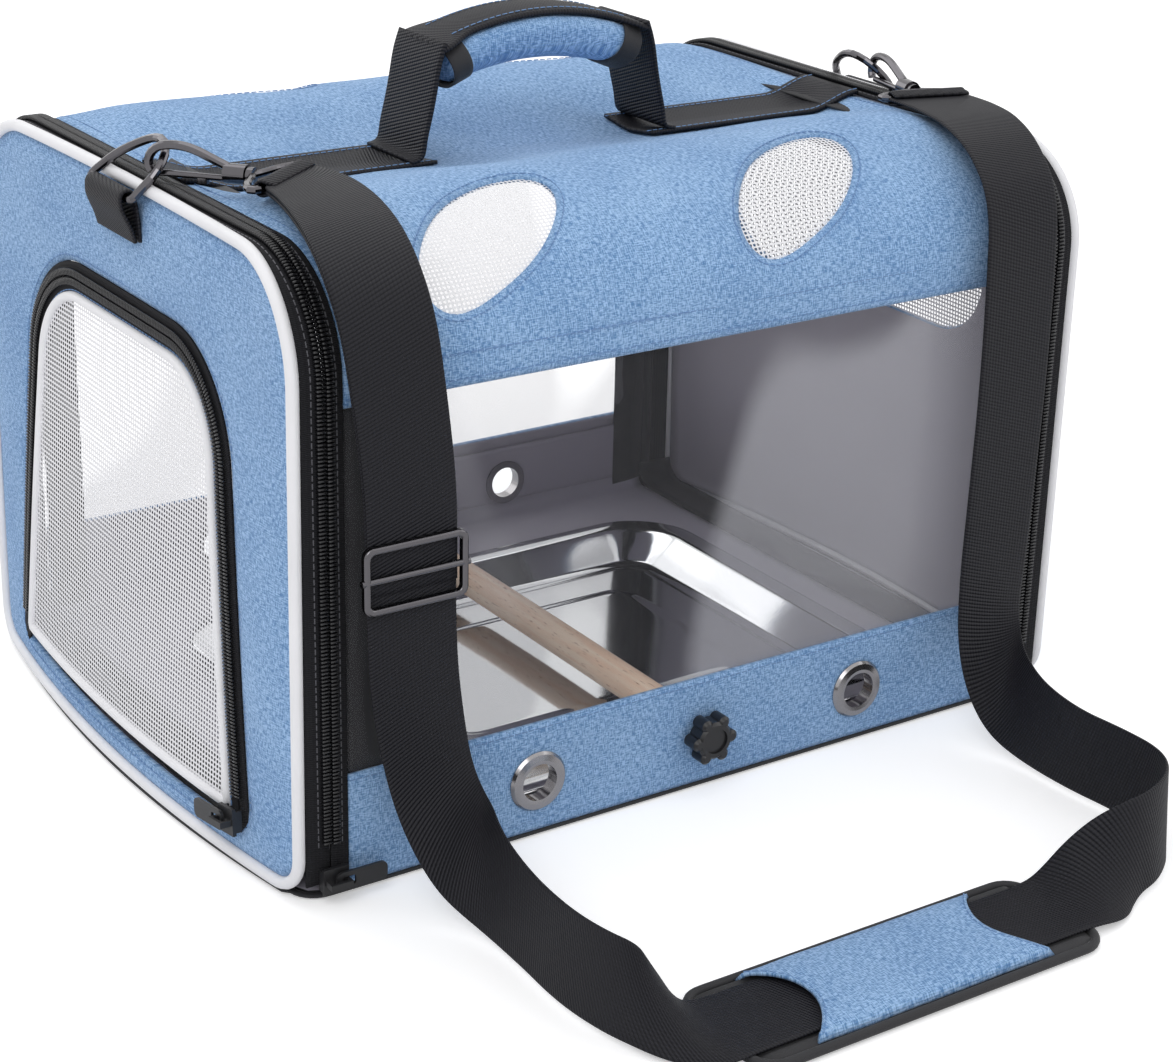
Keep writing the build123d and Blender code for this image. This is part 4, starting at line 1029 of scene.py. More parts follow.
area = sum(a[0] * b[1] - b[0] * a[1] for a, b in zip(leaf, np.roll(leaf, -1, 0)))
leafTurn = 1 if area > 0 else -1
vents = [(x, face) for face in (-1, 1) for x in vent["xs"]]
outline = [(0, -end), (roofRun, -end), (roofRun, end), (0, end)]


obj = clothPiece("roof", outline, [leafLoop(x, face) for x, face in vents], onRoof, roofShape["thick"], 4.5,
                 sink=1.0, reach=3.0, wave=1.7, waveSize=52, seed=2.0)
dress(obj, "carrier", ["denim", "lining"], ["roof"])
for number, (x, face) in enumerate(vents):
    behind = partial(onRoof, lift=-vent["behind"])
    obj = clothPiece(f"ventMesh{number}", leafLoop(x, face, vent["under"]), [], behind, 0.0, 4.0)
    dress(obj, "carrier", "vent", ["roof_vent_mesh"] if number == 0 else ())
    loop = np.array(leafLoop(x, face, vent["stitchOut"]))
    addStitches("carrier", *onRoof(loop[:, 0], loop[:, 1], -0.25), True)
xs = np.linspace(2 - end, end - 2, 120)
hem, second = roofShape["stitchRows"]
for s, lift in ((hem, -0.3), (second, 0.0), (roofRun - second, 0.0), (roofRun - hem, -0.3)):
    addStitches("carrier", *onRoof(np.full_like(xs, s), xs, lift))
for hand, _ in hands:
    s = np.linspace(4, roofRun - 4, 160)
    addStitches("carrier", *onRoof(s, np.full_like(s, hand * roofShape["endStitches"]), -0.2))
print("roof made")

# end zips

zipParts = dict(
    bodyFrom=168.2, bodyTo=175.7, doorFrom=176.3, sillFrom=167.0, bindingFrom=150, bindingTo=167.6,
    coilFoot=24, coilLift=1.15, bodyCoil=174.0, doorCoil=178.0, bodySeam=170.8, doorSeam=181.0,
    tape=1.0, lining=0.8, sillTop=22, sillIn=3.4, doorIn=3.6, tapeFoot=2.0, doorFoot=7.0,
    innerIn=3.2, innerFoot=9.0,
)


def skirtPiece(name, hand, line, start, inset, thick, lengths):
    # a strip from the body out to an end panel, so its far edge follows the panel's face
    rows = []
    for y, z in line:
        reach = faceX(y, z) - inset - start
        rows.append([(hand * (start + reach * k / 4), y, z) for k in range(5)])
    obj = gridPiece(name, rows, [[(p[0], s) for p in row] for row, s in zip(rows, lengths)])
    faceTowards(obj, (0, 0, 1))
    thicken(obj, thick)
    return obj


for hand, side in hands:
    profile, _ = hoopLine(0, zipParts["tapeFoot"])
    strip(f"{side}BodyTape", profile, hand * zipParts["bodyFrom"], hand * zipParts["bodyTo"],
          zipParts["tape"], "carrier", ["tape", "binding"], [f"{side}_body_tape"], 3.0)
    inner, _ = hoopLine(zipParts["innerIn"], zipParts["innerFoot"])
    strip(f"{side}InnerBinding", inner, hand * zipParts["bindingFrom"], hand * zipParts["bindingTo"],
          zipParts["lining"], "carrier", ["binding", "binding"], (), 6.0, 0.5, hand)
    # down the front corner, along the foot and up the back corner
    foot = [p for p in panelLoop(3.0) if p[1] < zipParts["sillTop"]]
    foot.sort(key=lambda p: (p[0] >= 0, round(p[0], 1), math.copysign(p[1], p[0])))
    obj = skirtPiece(f"{side}Sill", hand, foot, zipParts["sillFrom"], zipParts["sillIn"],
                     zipParts["lining"], [y for y, _ in foot])
    dress(obj, "carrier", "binding")
    tapeLine, _ = hoopLine(0, zipParts["doorFoot"])
    obj = skirtPiece(f"{side}DoorTape", hand, tapeLine, zipParts["doorFrom"], zipParts["doorIn"],
                     zipParts["tape"], runAlong(tapeLine))
    dress(obj, f"{side}_end", "tape", [f"{side}_door_tape"])
    line, out = hoopLine(0, zipParts["coilFoot"])
    for part, body, slide in (("body", "carrier", 0.0), ("door", f"{side}_end", coilTooth["pitch"] / 2)):
        x, lift = zipParts[f"{part}Coil"], zipParts["coilLift"]
        lifted = [(hand * x, y + ny * lift, z + nz * lift) for (y, z), (ny, nz) in zip(line, out)]
        # the door's teeth start half a step up, between the body's
        lifted[0] = tuple(np.array(lifted[0]) + (0, 0, slide))
        outward = [(0, ny, nz) for ny, nz in out]
        rowPiece(f"{side}{part.title()}Coil", [(lifted, outward, False)], zipTooth,
                 coilTooth["pitch"], "coil", body, [f"{side}_{part}_coil"])
    for part, body in (("body", "carrier"), ("door", f"{side}_end")):
        seam = [(hand * zipParts[f"{part}Seam"], y, z) for y, z in line]
        addStitches(body, seam, [(0, ny, nz) for ny, nz in out], pale=True)
print("zips made")

# end panels

panels = dict(
    thick=2.6, sink=1.6, wave=2.2, edgeIn=2.4, pipingDepth=1.2, stitchIn=5.4, stitchDepth=1.2,
    doorGap=6.2, footGap=0.4, viewStitch=3, viewUnder=4, viewDepth=2.8,
)
for hand, side in hands:
    doorway = doorLoop(-panels["doorGap"], foot=door["foot"] - panels["footGap"])
    obj = clothPiece(f"{side}Panel", panelLoop(panels["edgeIn"]), [doorway if hand < 0 else viewLoop(0)],
                     onEnd(hand), panels["thick"], 4.5, sink=panels["sink"], reach=4.0,
                     wave=panels["wave"], waveSize=48, seed=7.0 * hand)
    dress(obj, f"{side}_end", ["denim", "lining"], [f"{side}_panel"])
    loop = evenSteps(panelLoop(0), 3.0, True)
    line = [(hand * (faceX(y, z) - panels["pipingDepth"]), y, z) for y, z in loop]
    obj = tubePiece(f"{side}Piping", line, carrier["pipingRadius"] + 0.1, closed=True, sides=14)
    dress(obj, f"{side}_end", "piping", [f"{side}_piping"])
    addStitches(f"{side}_end", *endRow(hand, panelLoop(panels["stitchIn"]), panels["stitchDepth"]))
    if hand > 0:
        addStitches("right_end", *endRow(hand, viewLoop(-panels["viewStitch"]), 0.9))
        obj = clothPiece("rightWindowMesh", viewLoop(-panels["viewUnder"]), [],
                         onEnd(hand, panels["viewDepth"]), 0.0, 6.0, wave=0.8, seed=4)
        dress(obj, "right_end", "vent", ["right_window_mesh"])

# mesh door in the left end


def openDoorLine(inset, foot):
    # up one side, over the top and down the other
    loop = list(doorLoop(inset))
    line = [tuple(p) for p in evenSteps(loop + loop[:1], 2.0) if p[1] >= foot]
    # the loop is cut where it passes below the foot
    cut = max(range(len(line)), key=lambda i: math.dist(line[i], line[(i + 1) % len(line)]))
    line = line[cut + 1:] + line[:cut + 1]
    return evenSteps(line, 2.0)


def endRibbon(name, line, half, depth, thick, body, replaced):
    # flat tape that follows a line on the left end
    tangent = headings(line)
    rows, uvRows, run = [], [], 0.0
    for p, n in zip(line, np.stack([tangent[:, 1], -tangent[:, 0]], 1)):
        cells = [p + n * half[0] + (n * (half[1] - half[0])) * k / 4 for k in range(5)]
        rows.append([(-(faceX(c[0], c[1]) - depth), c[0], c[1]) for c in cells])
        uvRows.append([(20 + k * 1.5, run) for k in range(5)])
        run += 2.0
    obj = gridPiece(name, rows, uvRows)
    faceTowards(obj, (-1, 0, 0))
    thicken(obj, thick)
    return dress(obj, body, "tape", replaced)


middleLine = openDoorLine(0, door["foot"] + 1)
turn = np.gradient(middleLine, axis=0)[len(middleLine) // 2]
outSign = 1 if np.array([turn[1], -turn[0]])[1] > 0 else -1
for name, near, far, depth, thick, body, node in (
    ("doorZipFrame", 0.4, 6.0, 0.9, 1.0, "left_end", "mesh_zip_frame"),
    ("doorZipTape", -0.4, -6.2, 0.7, 0.9, "mesh_flap", "mesh_zip_door"),
):
    endRibbon(name, middleLine, (near * outSign, far * outSign), depth, thick, body, [node])
for name, body, inset, foot in (("doorFrameCoil", "left_end", -1.9, door["coilFoot"]),
                                ("doorFlapCoil", "mesh_flap", 1.9, door["flapFoot"])):
    line = openDoorLine(inset, door["foot"] + foot)
    points, normals = onEnd(-1, -0.5)(line[:, 0], line[:, 1])
    rowPiece(name, [(points, normals, False)], doorTooth, door["pitch"], "coil", body)
loop = evenSteps(doorLoop(door["rim"]), 3.0, True)
line = [(-(faceX(y, z) - door["rimDepth"]), y, z) for y, z in loop]
obj = tubePiece("doorRim", line, door["rimRadius"], closed=True, sides=12)
dress(obj, "mesh_flap", "piping", ["door_rim"])
obj = clothPiece("doorMesh", doorLoop(door["screen"]), [], onEnd(-1, door["screenDepth"]), 0.0, 5.0,
                 sink=-0.6, reach=25, wave=1.1, waveSize=70, seed=12)
dress(obj, "mesh_flap", "screen", ["door_mesh"])
addStitches("mesh_flap", *endRow(-1, doorLoop(5.6), 0.6))
addStitches("left_end", *endRow(-1, doorLoop(-8.6, foot=door["foot"] - 3), 0.9))
print("ends made")

# webbing on the roof and the handle

handle = dict(
    width=38, thick=1.9, sewnThick=1.5, sewnFrom=54, sewnLift=1.9, sewnStitch=16.5,
    top=292, half=46, rise=9, rollWide=17.5, rollHigh=10.5, rollTop=7.4,
    gripLift=9.0, gripThick=2.2, gripWide=27, widenAt=0.26, widenOver=0.12, gripStitch=10.5,
    leg=[(66, 246.6), (61.2, 248.2), (59.6, 254), (57.2, 264), (54.6, 276), (52.6, 286), (49.8, 294)],
)
for hand, side in hands:
    xs = np.linspace(handle["sewnFrom"], end, 40)
    cells = np.linspace(-handle["width"] / 2, handle["width"] / 2, 11)
    rows = [onRoof(roofRun / 2 + cells, np.full_like(cells, hand * x), handle["sewnLift"])[0] for x in xs]
    obj = gridPiece(f"{side}TopWebbing", rows, [[(c + 20, x) for c in cells] for x in xs])
    faceTowards(obj, (0, 0, 1), 10)
    thicken(obj, handle["sewnThick"])
    dress(obj, "carrier", "webbing", ["top_webbing"] if hand < 0 else ())
    for c in (-handle["sewnStitch"], handle["sewnStitch"]):
        addStitches("carrier", *onRoof(np.full_like(xs, roofRun / 2 + c), hand * xs, 2.0))
    # the leg stands up from its seam, leans in and turns over the roll
    line = smoothLine([(hand * x, z) for x, z in handle["leg"]], 1.6)
    obj = ribbonPiece(f"{side}HandleLeg", [(x, 0, z) for x, z in line], (0, 1, 0), handle["width"],
                      handle["thick"], columns=10)
    dress(obj, None, "webbing", ["handle_legs"] if hand < 0 else ())
    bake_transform(obj)

radius = (handle["half"] ** 2 + handle["rise"] ** 2) / (2 * handle["rise"])


def overHandle(turn, height):
    # x and z on the grip's arc
    return (radius + height) * math.sin(turn), handle["top"] - radius + (radius + height) * math.cos(turn)


limit = 2 * math.atan2(handle["rise"], handle["half"])
turns = np.linspace(-limit - 0.012, limit + 0.012, 60)
line = [(x, 0, z) for x, z in (overHandle(t, handle["gripLift"]) for t in turns)]
wider = [ease((abs(t) - handle["widenAt"]) / handle["widenOver"]) for t in turns]
widths = [handle["gripWide"] + (handle["width"] - handle["gripWide"]) * w for w in wider]
obj = ribbonPiece("gripWebbing", line, (0, 1, 0), widths, handle["gripThick"], crown=1.0, columns=12)
dress(obj, "handle", "webbing", ["handle_grip_webbing"])
for y in (-handle["gripStitch"], handle["gripStitch"]):
    addStitches("handle", [(x, y, z + 0.2) for x, z in (overHandle(t, 10.6) for t in turns[6:-6])], (0, 0, 1))
rows, around = [], [2 * math.pi * k / 40 for k in range(40)]
gripTurns = np.linspace(-limit, limit, 44)
for t in gripTurns:
    taper = min(1.0, (limit - abs(t)) / 0.05)
    size = 0.93 + 0.07 * math.sin(taper * math.pi / 2)
    row = []
    for a in around:
        x, z = overHandle(t, min(handle["rollHigh"] * math.sin(a) * size, handle["rollTop"]))
        row.append((x, handle["rollWide"] * math.cos(a) * size, z))
    rows.append(row)
uvRows = [[(44.0 * k / len(around), t * radius) for k in range(len(around))] for t in gripTurns]
roll = gridPiece("handleRoll", rows, uvRows, closedRound=True)
pointOutwards(fillEnds(roll))


def pointsOf(obj):
    flat = np.zeros(len(obj.data.vertices) * 3)
    obj.data.vertices.foreach_get("co", flat)
    return flat.reshape(-1, 3)


def swell(obj, voxel, pressure, cap, keepUv, steps=16):
    # cloth under pressure, with each point's travel capped; patterns are laid on again afterwards
    again = obj.modifiers.new("remesh", "REMESH")
    again.mode, again.voxel_size = "VOXEL", voxel * mm
    settle(obj)
    start = pointsOf(obj)
    cloth = obj.modifiers.new("cloth", "CLOTH")
    cloth.settings.use_pressure = True
    cloth.settings.uniform_pressure_force = pressure
    cloth.settings.effector_weights.gravity = 0
    cloth.settings.quality = 5
    cloth.point_cache.frame_start, cloth.point_cache.frame_end = 1, 20
    for frameNumber in range(1, steps + 1):
        scene.frame_set(frameNumber)
    settle(obj)
    scene.frame_set(1)
    move = pointsOf(obj) - start
    length = np.linalg.norm(move, axis=1)
    move *= np.minimum(1, cap * mm / np.maximum(length, 1e-9))[:, None]
    obj.data.vertices.foreach_set("co", (start + move).ravel())
    smooth = obj.modifiers.new("smooth", "SUBSURF")
    smooth.levels = smooth.render_levels = 1
    settle(obj)
    obj.data.shade_smooth()
    layer = obj.data.uv_layers.new(name="UVMap")
    for loop in obj.data.loops:
        layer.data[loop.index].uv = keepUv(obj.data.vertices[loop.vertex_index].co / mm)
    return obj


swell(roll, 2.6, 3.0, 1.2, lambda p: ((p.y + p.z * 0.8) * mm, p.x * mm))
roll.data.materials.clear()
dress(roll, "handle", "denim", ["handle_pad"])
# the black binding round each end of the roll
rollEnd = dict(turnIn=0.035, wide=18.2, high=11.2, top=8.4, width=9.5, thick=0.9)
for hand, side in hands:
    ring = []
    for a in around:
        height = min(rollEnd["high"] * math.sin(a), rollEnd["top"])
        x, z = overHandle(hand * (limit - rollEnd["turnIn"]), height)
        ring.append((x, rollEnd["wide"] * math.cos(a), z))
    across = (math.cos(limit), 0, -hand * math.sin(limit))
    obj = ribbonPiece(f"rollBinding{side.title()}", ring + ring[:1], across, rollEnd["width"],
                      rollEnd["thick"], columns=4)
    dress(obj, "handle", "binding")
print("handle made")

# straps: the route's points, in metres, and the way the webbing faces at each

strap = dict(width=38, thick=1.5, plyShift=0.85)
loopRoute = [
    (-0.1456, -0.0624, 0.2599, 0.80, 0.60, 0), (-0.1445, -0.0690, 0.2601, 0.9, 0.42, 0),
    (-0.1450, -0.0840, 0.2604, 1, 0.2, 0), (-0.1495, -0.1070, 0.2600, 1, 0.05, 0),
    (-0.1550, -0.1310, 0.2570, 1, 0, 0), (-0.1580, -0.1490, 0.2480, 1, 0, 0),
    (-0.1560, -0.1570, 0.2300, 1, 0, 0), (-0.1520, -0.1570, 0.2040, 1, 0, 0),
    (-0.1480, -0.1570, 0.1720, 1, 0, 0), (-0.1470, -0.1570, 0.1500, 1, 0, 0),
    (-0.1470, -0.1570, 0.1280, 1, 0, 0),
]
longRoute = [
    (-0.147, -0.157, 0.132, 1, 0, 0), (-0.147, -0.157, 0.104, 1, 0, 0), (-0.144, -0.157, 0.074, 1, 0, 0),
    (-0.139, -0.159, 0.044, 1, 0.1, 0.1), (-0.136, -0.172, 0.027, 0.9, 0.2, 0.5),
    (-0.137, -0.195, 0.022, 0.35, 0.1, 1), (-0.140, -0.225, 0.021, 0.1, 0, 1),
    (-0.142, -0.254, 0.021, 0.1, 0, 1), (-0.140, -0.276, 0.0215, 0.1, 0.1, 1),
    (-0.134, -0.291, 0.0205, 0.1, 0.3, 1), (-0.124, -0.300, 0.0135, 0, 0.8, 0.6),
    (-0.113, -0.302, 0.0056, 0, 1, 0.08), (-0.102, -0.302, 0.0044, 0, 1, 0),
    (-0.086, -0.302, 0.0044, 0, 1, 0), (-0.060, -0.302, 0.0044, 0, 1, 0), (-0.026, -0.302, 0.0044, 0, 1, 0),
    (0.008, -0.302, 0.0044, 0, 1, 0), (0.034, -0.302, 0.0044, 0, 1, 0), (0.050, -0.302, 0.0044, 0, 1, 0),
    (0.061, -0.3023, 0.0056, 0, 1, 0.08), (0.073, -0.304, 0.0125, 0, 0.85, 0.55),
    (0.088, -0.305, 0.0205, 0, 0.3, 1), (0.104, -0.303, 0.0215, 0, 0.2, 1),
    (0.122, -0.292, 0.0215, 0, 0.1, 1), (0.131, -0.275, 0.021, 0, 0, 1), (0.131, -0.255, 0.021, 0, 0, 1),
    (0.128, -0.230, 0.021, 0, 0, 1), (0.131, -0.200, 0.0215, 0.2, 0, 1),
    (0.137, -0.176, 0.026, 0.7, 0.1, 0.8), (0.142, -0.160, 0.044, 1, 0.1, 0.1),
    (0.145, -0.157, 0.074, 1, 0, 0), (0.146, -0.157, 0.110, 1, 0, 0), (0.147, -0.157, 0.156, 1, 0, 0),
    (0.146, -0.157, 0.200, 1, 0, 0), (0.147, -0.154, 0.236, 1, 0, 0), (0.152, -0.134, 0.253, 1, 0, 0),
    (0.1575, -0.112, 0.2592, 1, -0.1, 0), (0.1615, -0.093, 0.2601, 1, -0.18, 0),
    (0.1636, -0.079, 0.2600, 0.98, -0.22, 0), (0.16405, -0.0713, 0.2599, 0.968, -0.25, 0),
]


def nurbsPoints(points):
    # the smooth line that a spline with these control points makes
    curve = bpy.data.curves.new("route", "CURVE")
    curve.dimensions = "3D"
    spline = curve.splines.new("NURBS")
    spline.points.add(len(points) - 1)
    for point, p in zip(spline.points, points):
        point.co = (*p, 1)
    spline.order_u = 3
    spline.use_endpoint_u = True
    spline.resolution_u = 14
    obj = bpy.data.objects.new("route", curve)
    scene.collection.objects.link(obj)
    mesh = bpy.data.meshes.new_from_object(obj)
    found = [tuple(v.co) for v in mesh.vertices]
    bpy.data.objects.remove(obj)
    bpy.data.meshes.remove(mesh)
    return found


def strapLine(route):
    middle = np.array(nurbsPoints([p[:3] for p in route]))
    wide = []
    for p in route:
        wide.append(Vector(p[:3]) + Vector(p[3:]).normalized() * strap["width"] * mm / 2)
    return middle, np.array(nurbsPoints(wide)) - middle


def strapPiece(name, route, layers):
    middle, across = strapLine(route)
    obj = ribbonPiece(name, middle / mm, across, strap["width"], strap["thick"], columns=10, layers=layers)
    return obj, middle


loopStrap, loopLine = strapPiece("strapLoop", loopRoute, (strap["plyShift"], -strap["plyShift"]))
dress(loopStrap, None, "webbing", ["strap_loop"])
longStrap, longLine = strapPiece("shoulderStrap", longRoute, (0.0,))
dress(longStrap, None, "webbing", ["shoulder_strap"])
print("strap lengths", round(runLength(loopLine), 3), round(runLength(longLine), 3))

# the webbing's turn round each swivel's bar, in millimetres
swivels = dict(
    left=dict(bar=(-147.027, -60.613, 259.857), along=(0.59988, -0.79984, 0.019996), across=(0.8, 0.6, 0)),
    right=dict(bar=(164.643, -69.0817, 259.858), along=(-0.25001, -0.968037, 0.020001),
               across=(0.96823, -0.25006, 0)),
)
fold = dict(reach=5.5, apart=1.6, turn=2.75, wide=35.5, thick=1.4)
for side, fit in swivels.items():
    bar, along, across = (Vector(fit[part]) for part in ("bar", "along", "across"))
    along.normalize()
    across.normalize()
    up = across.cross(along).normalized()
    up = -up if up.z < 0 else up
    turnLine = [bar + along * fold["reach"] + up * fold["apart"]]
    turnLine += [bar + along * (-math.sin(a) * fold["turn"]) + up * (math.cos(a) * fold["turn"])
                 for a in np.linspace(-0.5, math.pi + 0.5, 16)]
    turnLine += [bar + along * fold["reach"] - up * fold["apart"]]
    obj = ribbonPiece(f"{side}StrapFold", turnLine, across, fold["wide"], fold["thick"])
    dress(obj, f"{side}_end", "webbing")

# ring tabs

tab = dict(wide=36, waist=3.0, barZ=247, barOut=6.5, wire=1.75, foot=229.5, thick=1.5)
for hand, side in hands:
    barX, face = faceX(0, tab["barZ"]) + tab["barOut"], faceX(0, 230) + 0.9
    r = tab["wire"] + 1.2
    outline = [(face + 0.2, tab["foot"]), (face + 0.6, 237), (barX - r - 0.4, 244)]
    outline += [(barX - r * math.cos(a), tab["barZ"] + r * math.sin(a)) for a in np.linspace(0, math.pi, 10)]
    outline += [(barX + r - 0.2, 243), (face + 4.2, 236), (face + 2.2, tab["foot"])]
    line = smoothLine(outline, 1.2)
    width = [tab["wide"] - tab["waist"] * ease((z - 236) / 12) for _, z in line]
    obj = ribbonPiece(f"{side}RingTab", [(hand * x, 0, z) for x, z in line], (0, 1, 0), width, tab["thick"],
                      columns=10)
    dress(obj, f"{side}_end", "webbing", [f"{side}_ring_tab"])

# shoulder pad

pad = dict(
    x=-26, y=-302, long=165, wide=56, corner=12, edge=1.9, edgeZ=2.2, ledge=20.4, under=0.35, rim=0.5,
    rise=2.4, ledgeRise=1.6,
)
sleeve = dict(half=24.5, reach=56, cut=14, low=5.6, crown=2.9, thick=1.3, hem=23, stitch=22.5)


def roundedPad(inset):
    a, b, r = pad["long"] / 2 - inset, pad["wide"] / 2 - inset, max(pad["corner"] - inset, 2)
    return roundedLoop([(-a, -b, r), (a, -b, r), (a, b, r), (-a, b, r)], 3.0)


def sleeveReach(v):
    # the sleeve's ends are cut in a curve
    return sleeve["reach"] - sleeve["cut"] * (1 - (v / sleeve["half"]) ** 2)


def sleeveTop(v):
    return sleeve["low"] + sleeve["crown"] * (1 - abs(v / sleeve["half"]) ** 4)


flat, tri, gap = fillOutline(roundedPad(1.2), [], 3.2)
top = []
for (u, v), g in zip(flat, gap):
    rim = 1 - math.exp(-g / 2.2)
    z = pad["rim"] + pad["rise"] * rim
    if abs(v) > pad["ledge"]:
        z += pad["ledgeRise"] * ease((abs(v) - pad["ledge"]) / 1.5) * rim
    top.append((pad["x"] + u, pad["y"] + v, z))
low = [(x, y, pad["under"]) for x, y, _ in top]
n = len(top)
cells = [tuple(t) for t in tri] + [tuple(t[::-1] + n) for t in tri]
rimCount = len(evenSteps(roundedPad(1.2), 3.2 * 0.6, True))
cells += [(i, (i + 1) % rimCount, (i + 1) % rimCount + n, i + n) for i in range(rimCount)]
cushion = pointOutwards(meshObject("padCushion", top + low, cells, np.vstack([flat, flat])))
dress(cushion, "strap_pad", "binding", ["shoulder_pad"])
line = [(pad["x"] + u, pad["y"] + v, pad["edgeZ"]) for u, v in evenSteps(roundedPad(1.5), 2.5, True)]
obj = tubePiece("padEdge", line, pad["edge"], closed=True, sides=10)
dress(obj, "strap_pad", "binding")
rows, uvRows = [], []
for k in np.linspace(-1, 1, 46):
    row, uvRow = [], []
    for v in np.linspace(-sleeve["half"], sleeve["half"], 30):
        u = k * sleeveReach(v)
        h = sleeveTop(v) + 0.4 * soft(u, v, 0, 22, 8)
        if abs(v) > sleeve["hem"]:
            h -= (abs(v) - sleeve["hem"]) * 1.6
        row.append((pad["x"] + u, pad["y"] + v, h))
        uvRow.append((v + 30, u))
    rows.append(row)
    uvRows.append(uvRow)
obj = gridPiece("padSleeve", rows, uvRows)
faceTowards(obj, (0, 0, 1), 200)
thicken(obj, sleeve["thick"])
dress(obj, "strap_pad", "denim", ["pad_sleeve"])
for sign in (-1, 1):
    vs = np.linspace(-sleeve["stitch"], sleeve["stitch"], 30)
    line = [(pad["x"] + sign * (sleeveReach(v) - 1.5), pad["y"] + v, sleeveTop(v) + 0.1) for v in vs]
    addStitches("strap_pad", line, (0, 0, 1))
print("straps and pad made")

# stitches, one piece for each body and colour

for (body, pale), rows in threadRows.items():
    label = f"{body}{'Pale' if pale else ''}Stitches"
    rowPiece(label, rows, stitch, stitchStep, "paleThread" if pale else "thread", body)
print("stitches made")

# tray

tray = dict(x=137, front=-138, back=85, thick=0.7)
trayRings = [
    # inset, height, corner
    (0.0, 14.3, 34), (-0.3, 15.6, 34.2), (0.3, 16.5, 34), (1.6, 16.8, 33), (8.5, 16.7, 28),
    (10.6, 16.3, 27), (11.8, 15.4, 26.5), (28.0, 9.6, 16), (29.2, 8.6, 15), (30.6, 8.2, 14),
    (34, 8.2, 13.5), (36.5, 8.3, 13), (38.5, 9.3, 12.5), (41.0, 9.5, 12), (58, 9.5, 11),
    (61, 9.7, 10.5), (63.0, 10.6, 10), (66, 10.8, 9),
]
middleY, halfY = (tray["front"] + tray["back"]) / 2, (tray["back"] - tray["front"]) / 2
rows, uvRows = [], []
for inset, z, corner in trayRings:
    a, b = tray["x"] - inset, halfY - inset
    row = []
    for cx, cy, start in ((a, b, 0), (-a, b, 1), (-a, -b, 2), (a, -b, 3)):
        sx, sy = math.copysign(1, cx), math.copysign(1, cy)
        for k in range(13):
            t = start * math.pi / 2 + k / 12 * math.pi / 2
            x, y = cx + corner * (math.cos(t) - sx), middleY + cy + corner * (math.sin(t) - sy)
            row.append((x, y, z))
    rows.append(row)
    uvRows.append([(p[0], p[1]) for p in row])
obj = gridPiece("dripTray", rows, uvRows, closedRound=True)


def closeFloor(work):
    # one face over the last ring
    work.verts.ensure_lookup_table()
    work.faces.new(work.verts[-len(rows[-1]):])
    bmesh.ops.recalc_face_normals(work, faces=work.faces)


reshape(obj, closeFloor)
if sum(p.normal.z * p.area for p in obj.data.polygons) < 0:
    obj.data.flip_normals()
obj.data.shade_smooth()
thicken(obj, tray["thick"])
dress(obj, "drip_tray", "steel", ["tray"])

# hard parts that keep their solids

hardParts = dict(
    board="base_board", eyeletMetal="front_eyelets back_eyelets", beech="perch", brass="perch_inserts",
    blackPlastic="front_knob back_knob",
    gunmetal="left_ring right_ring left_swivel right_swivel left_hook right_hook left_bolt right_bolt buckle",
    blackMetal="left_slider right_slider mesh_slider left_pull right_pull mesh_pull",
)
for look, names in hardParts.items():
    for name in names.split():
        nodes[name].data.materials.clear()
        nodes[name].data.materials.append(finish[look])

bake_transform(loopStrap)
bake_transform(longStrap)

# camera, floor and light


def aim(obj, place, target):
    obj.location = place
    obj.rotation_euler = (Vector(target) - Vector(place)).to_track_quat("-Z", "Y").to_euler()


mainView = dict(turn=0.600, pitch=0.389, roll=0.026, lens=78.45, place=(-0.5805, -0.9034, 0.5049))


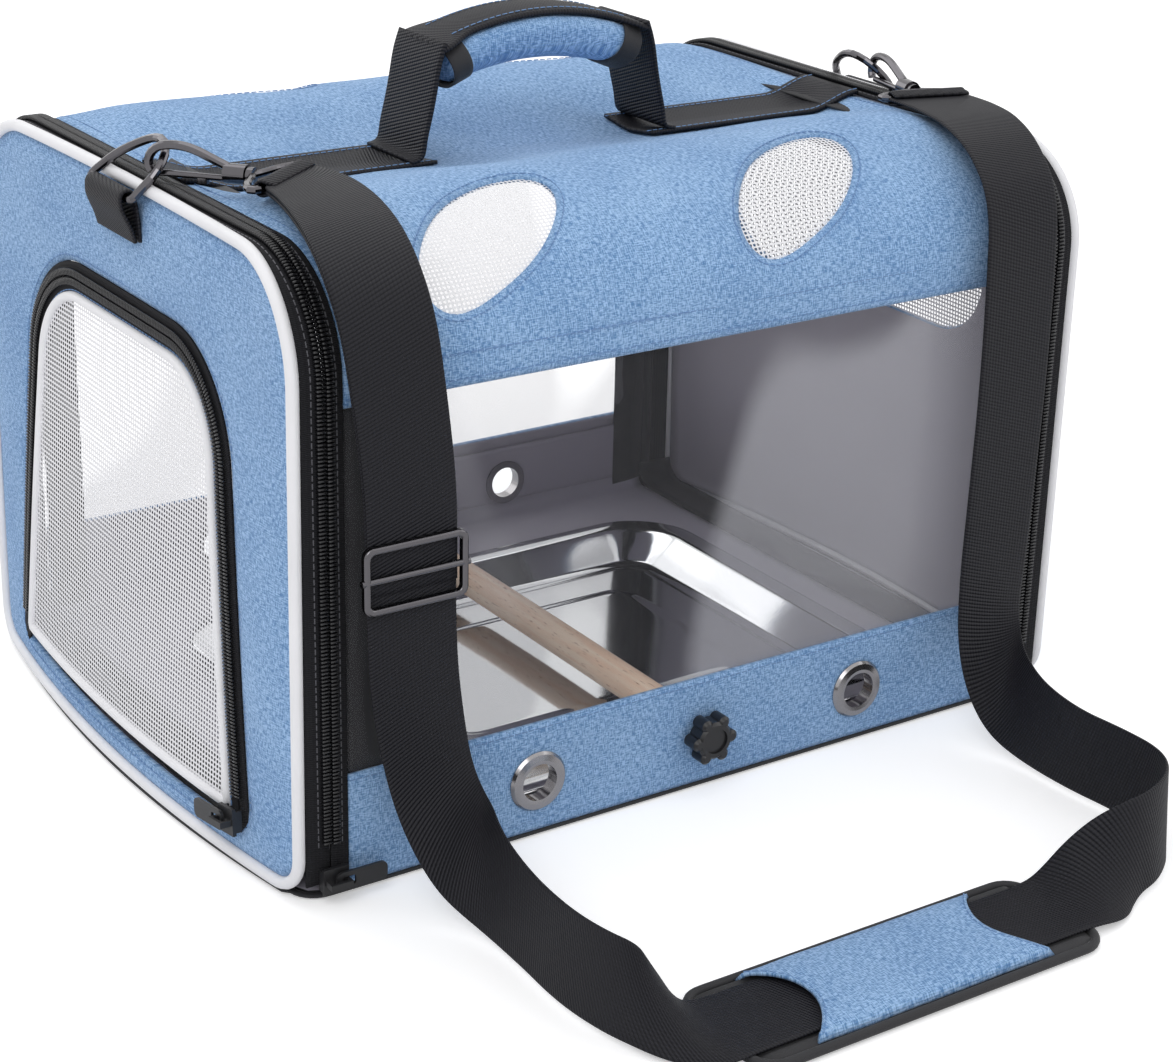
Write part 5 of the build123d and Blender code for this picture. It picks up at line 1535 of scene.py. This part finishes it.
def setCamera(turn, pitch, roll, lens, place):
    ahead = Vector((math.sin(turn) * math.cos(pitch), math.cos(turn) * math.cos(pitch), -math.sin(pitch)))
    right = Vector((math.cos(turn), -math.sin(turn), 0))
    up = right.cross(ahead)
    r = math.cos(roll) * right + math.sin(roll) * up
    u = -math.sin(roll) * right + math.cos(roll) * up
    data = bpy.data.cameras.new("camera")
    data.lens, data.sensor_width, data.sensor_fit = lens, 36, "HORIZONTAL"
    data.clip_start, data.clip_end = 0.01, 50
    obj = bpy.data.objects.new("camera", data)
    scene.collection.objects.link(obj)
    obj.matrix_world = Matrix.Translation(place) @ Matrix((r, u, -ahead)).transposed().to_4x4()
    scene.camera = obj


setCamera(**mainView)
studio = dict(
    lamps=[("key", (-1.5, -1.4, 2.1), 22, 1.6), ("fill", (1.9, -1.5, 1.3), 9, 1.8),
           ("top", (0.3, 0.5, 2.4), 16, 2.2), ("back", (-0.6, 2.0, 1.2), 8, 1.6)],
    ambient=0.55, floorGlow=0.35, floorHalf=6000, floorZ=-0.4,
)
for name, place, power, size in studio["lamps"]:
    data = bpy.data.lights.new(name, "AREA")
    data.energy, data.size, data.shape = power, size, "SQUARE"
    obj = bpy.data.objects.new(name, data)
    scene.collection.objects.link(obj)
    aim(obj, place, (0, -0.05, 0.12))

world = bpy.data.worlds.new("studio")
scene.world = world
world.use_nodes = True
tree = world.node_tree
background = tree.nodes["Background"]
path = tree.nodes.new("ShaderNodeLightPath")
camera, glossy, through = (path.outputs[f"Is {kind} Ray"] for kind in ("Camera", "Glossy", "Transmission"))
seen = mathNode(tree, "MAXIMUM", camera, mathNode(tree, "MAXIMUM", glossy, through))
level = mathNode(tree, "MULTIPLY_ADD", seen, 1.0 - studio["ambient"], studio["ambient"])
tree.links.new(level, background.inputs["Strength"])
background.inputs["Color"].default_value = (1, 1, 1, 1)

half = studio["floorHalf"]
corners = [(x, y, studio["floorZ"]) for x, y in boxLoop(half, -half, half)]
floor = meshObject("floor", corners, [(0, 1, 2, 3)])
floorFinish, tree, shader = newFinish("floorWhite", Roughness=0.9)
shader.inputs["Base Color"].default_value = (0.93, 0.93, 0.94, 1)
shader.inputs["Emission Color"].default_value = (1, 1, 1, 1)
path = tree.nodes.new("ShaderNodeLightPath")
glow = mathNode(tree, "MULTIPLY", path.outputs["Is Camera Ray"], studio["floorGlow"])
tree.links.new(glow, shader.inputs["Emission Strength"])
floor.data.materials.append(floorFinish)

scene.view_settings.view_transform = "Standard"
bpy.context.view_layer.update()
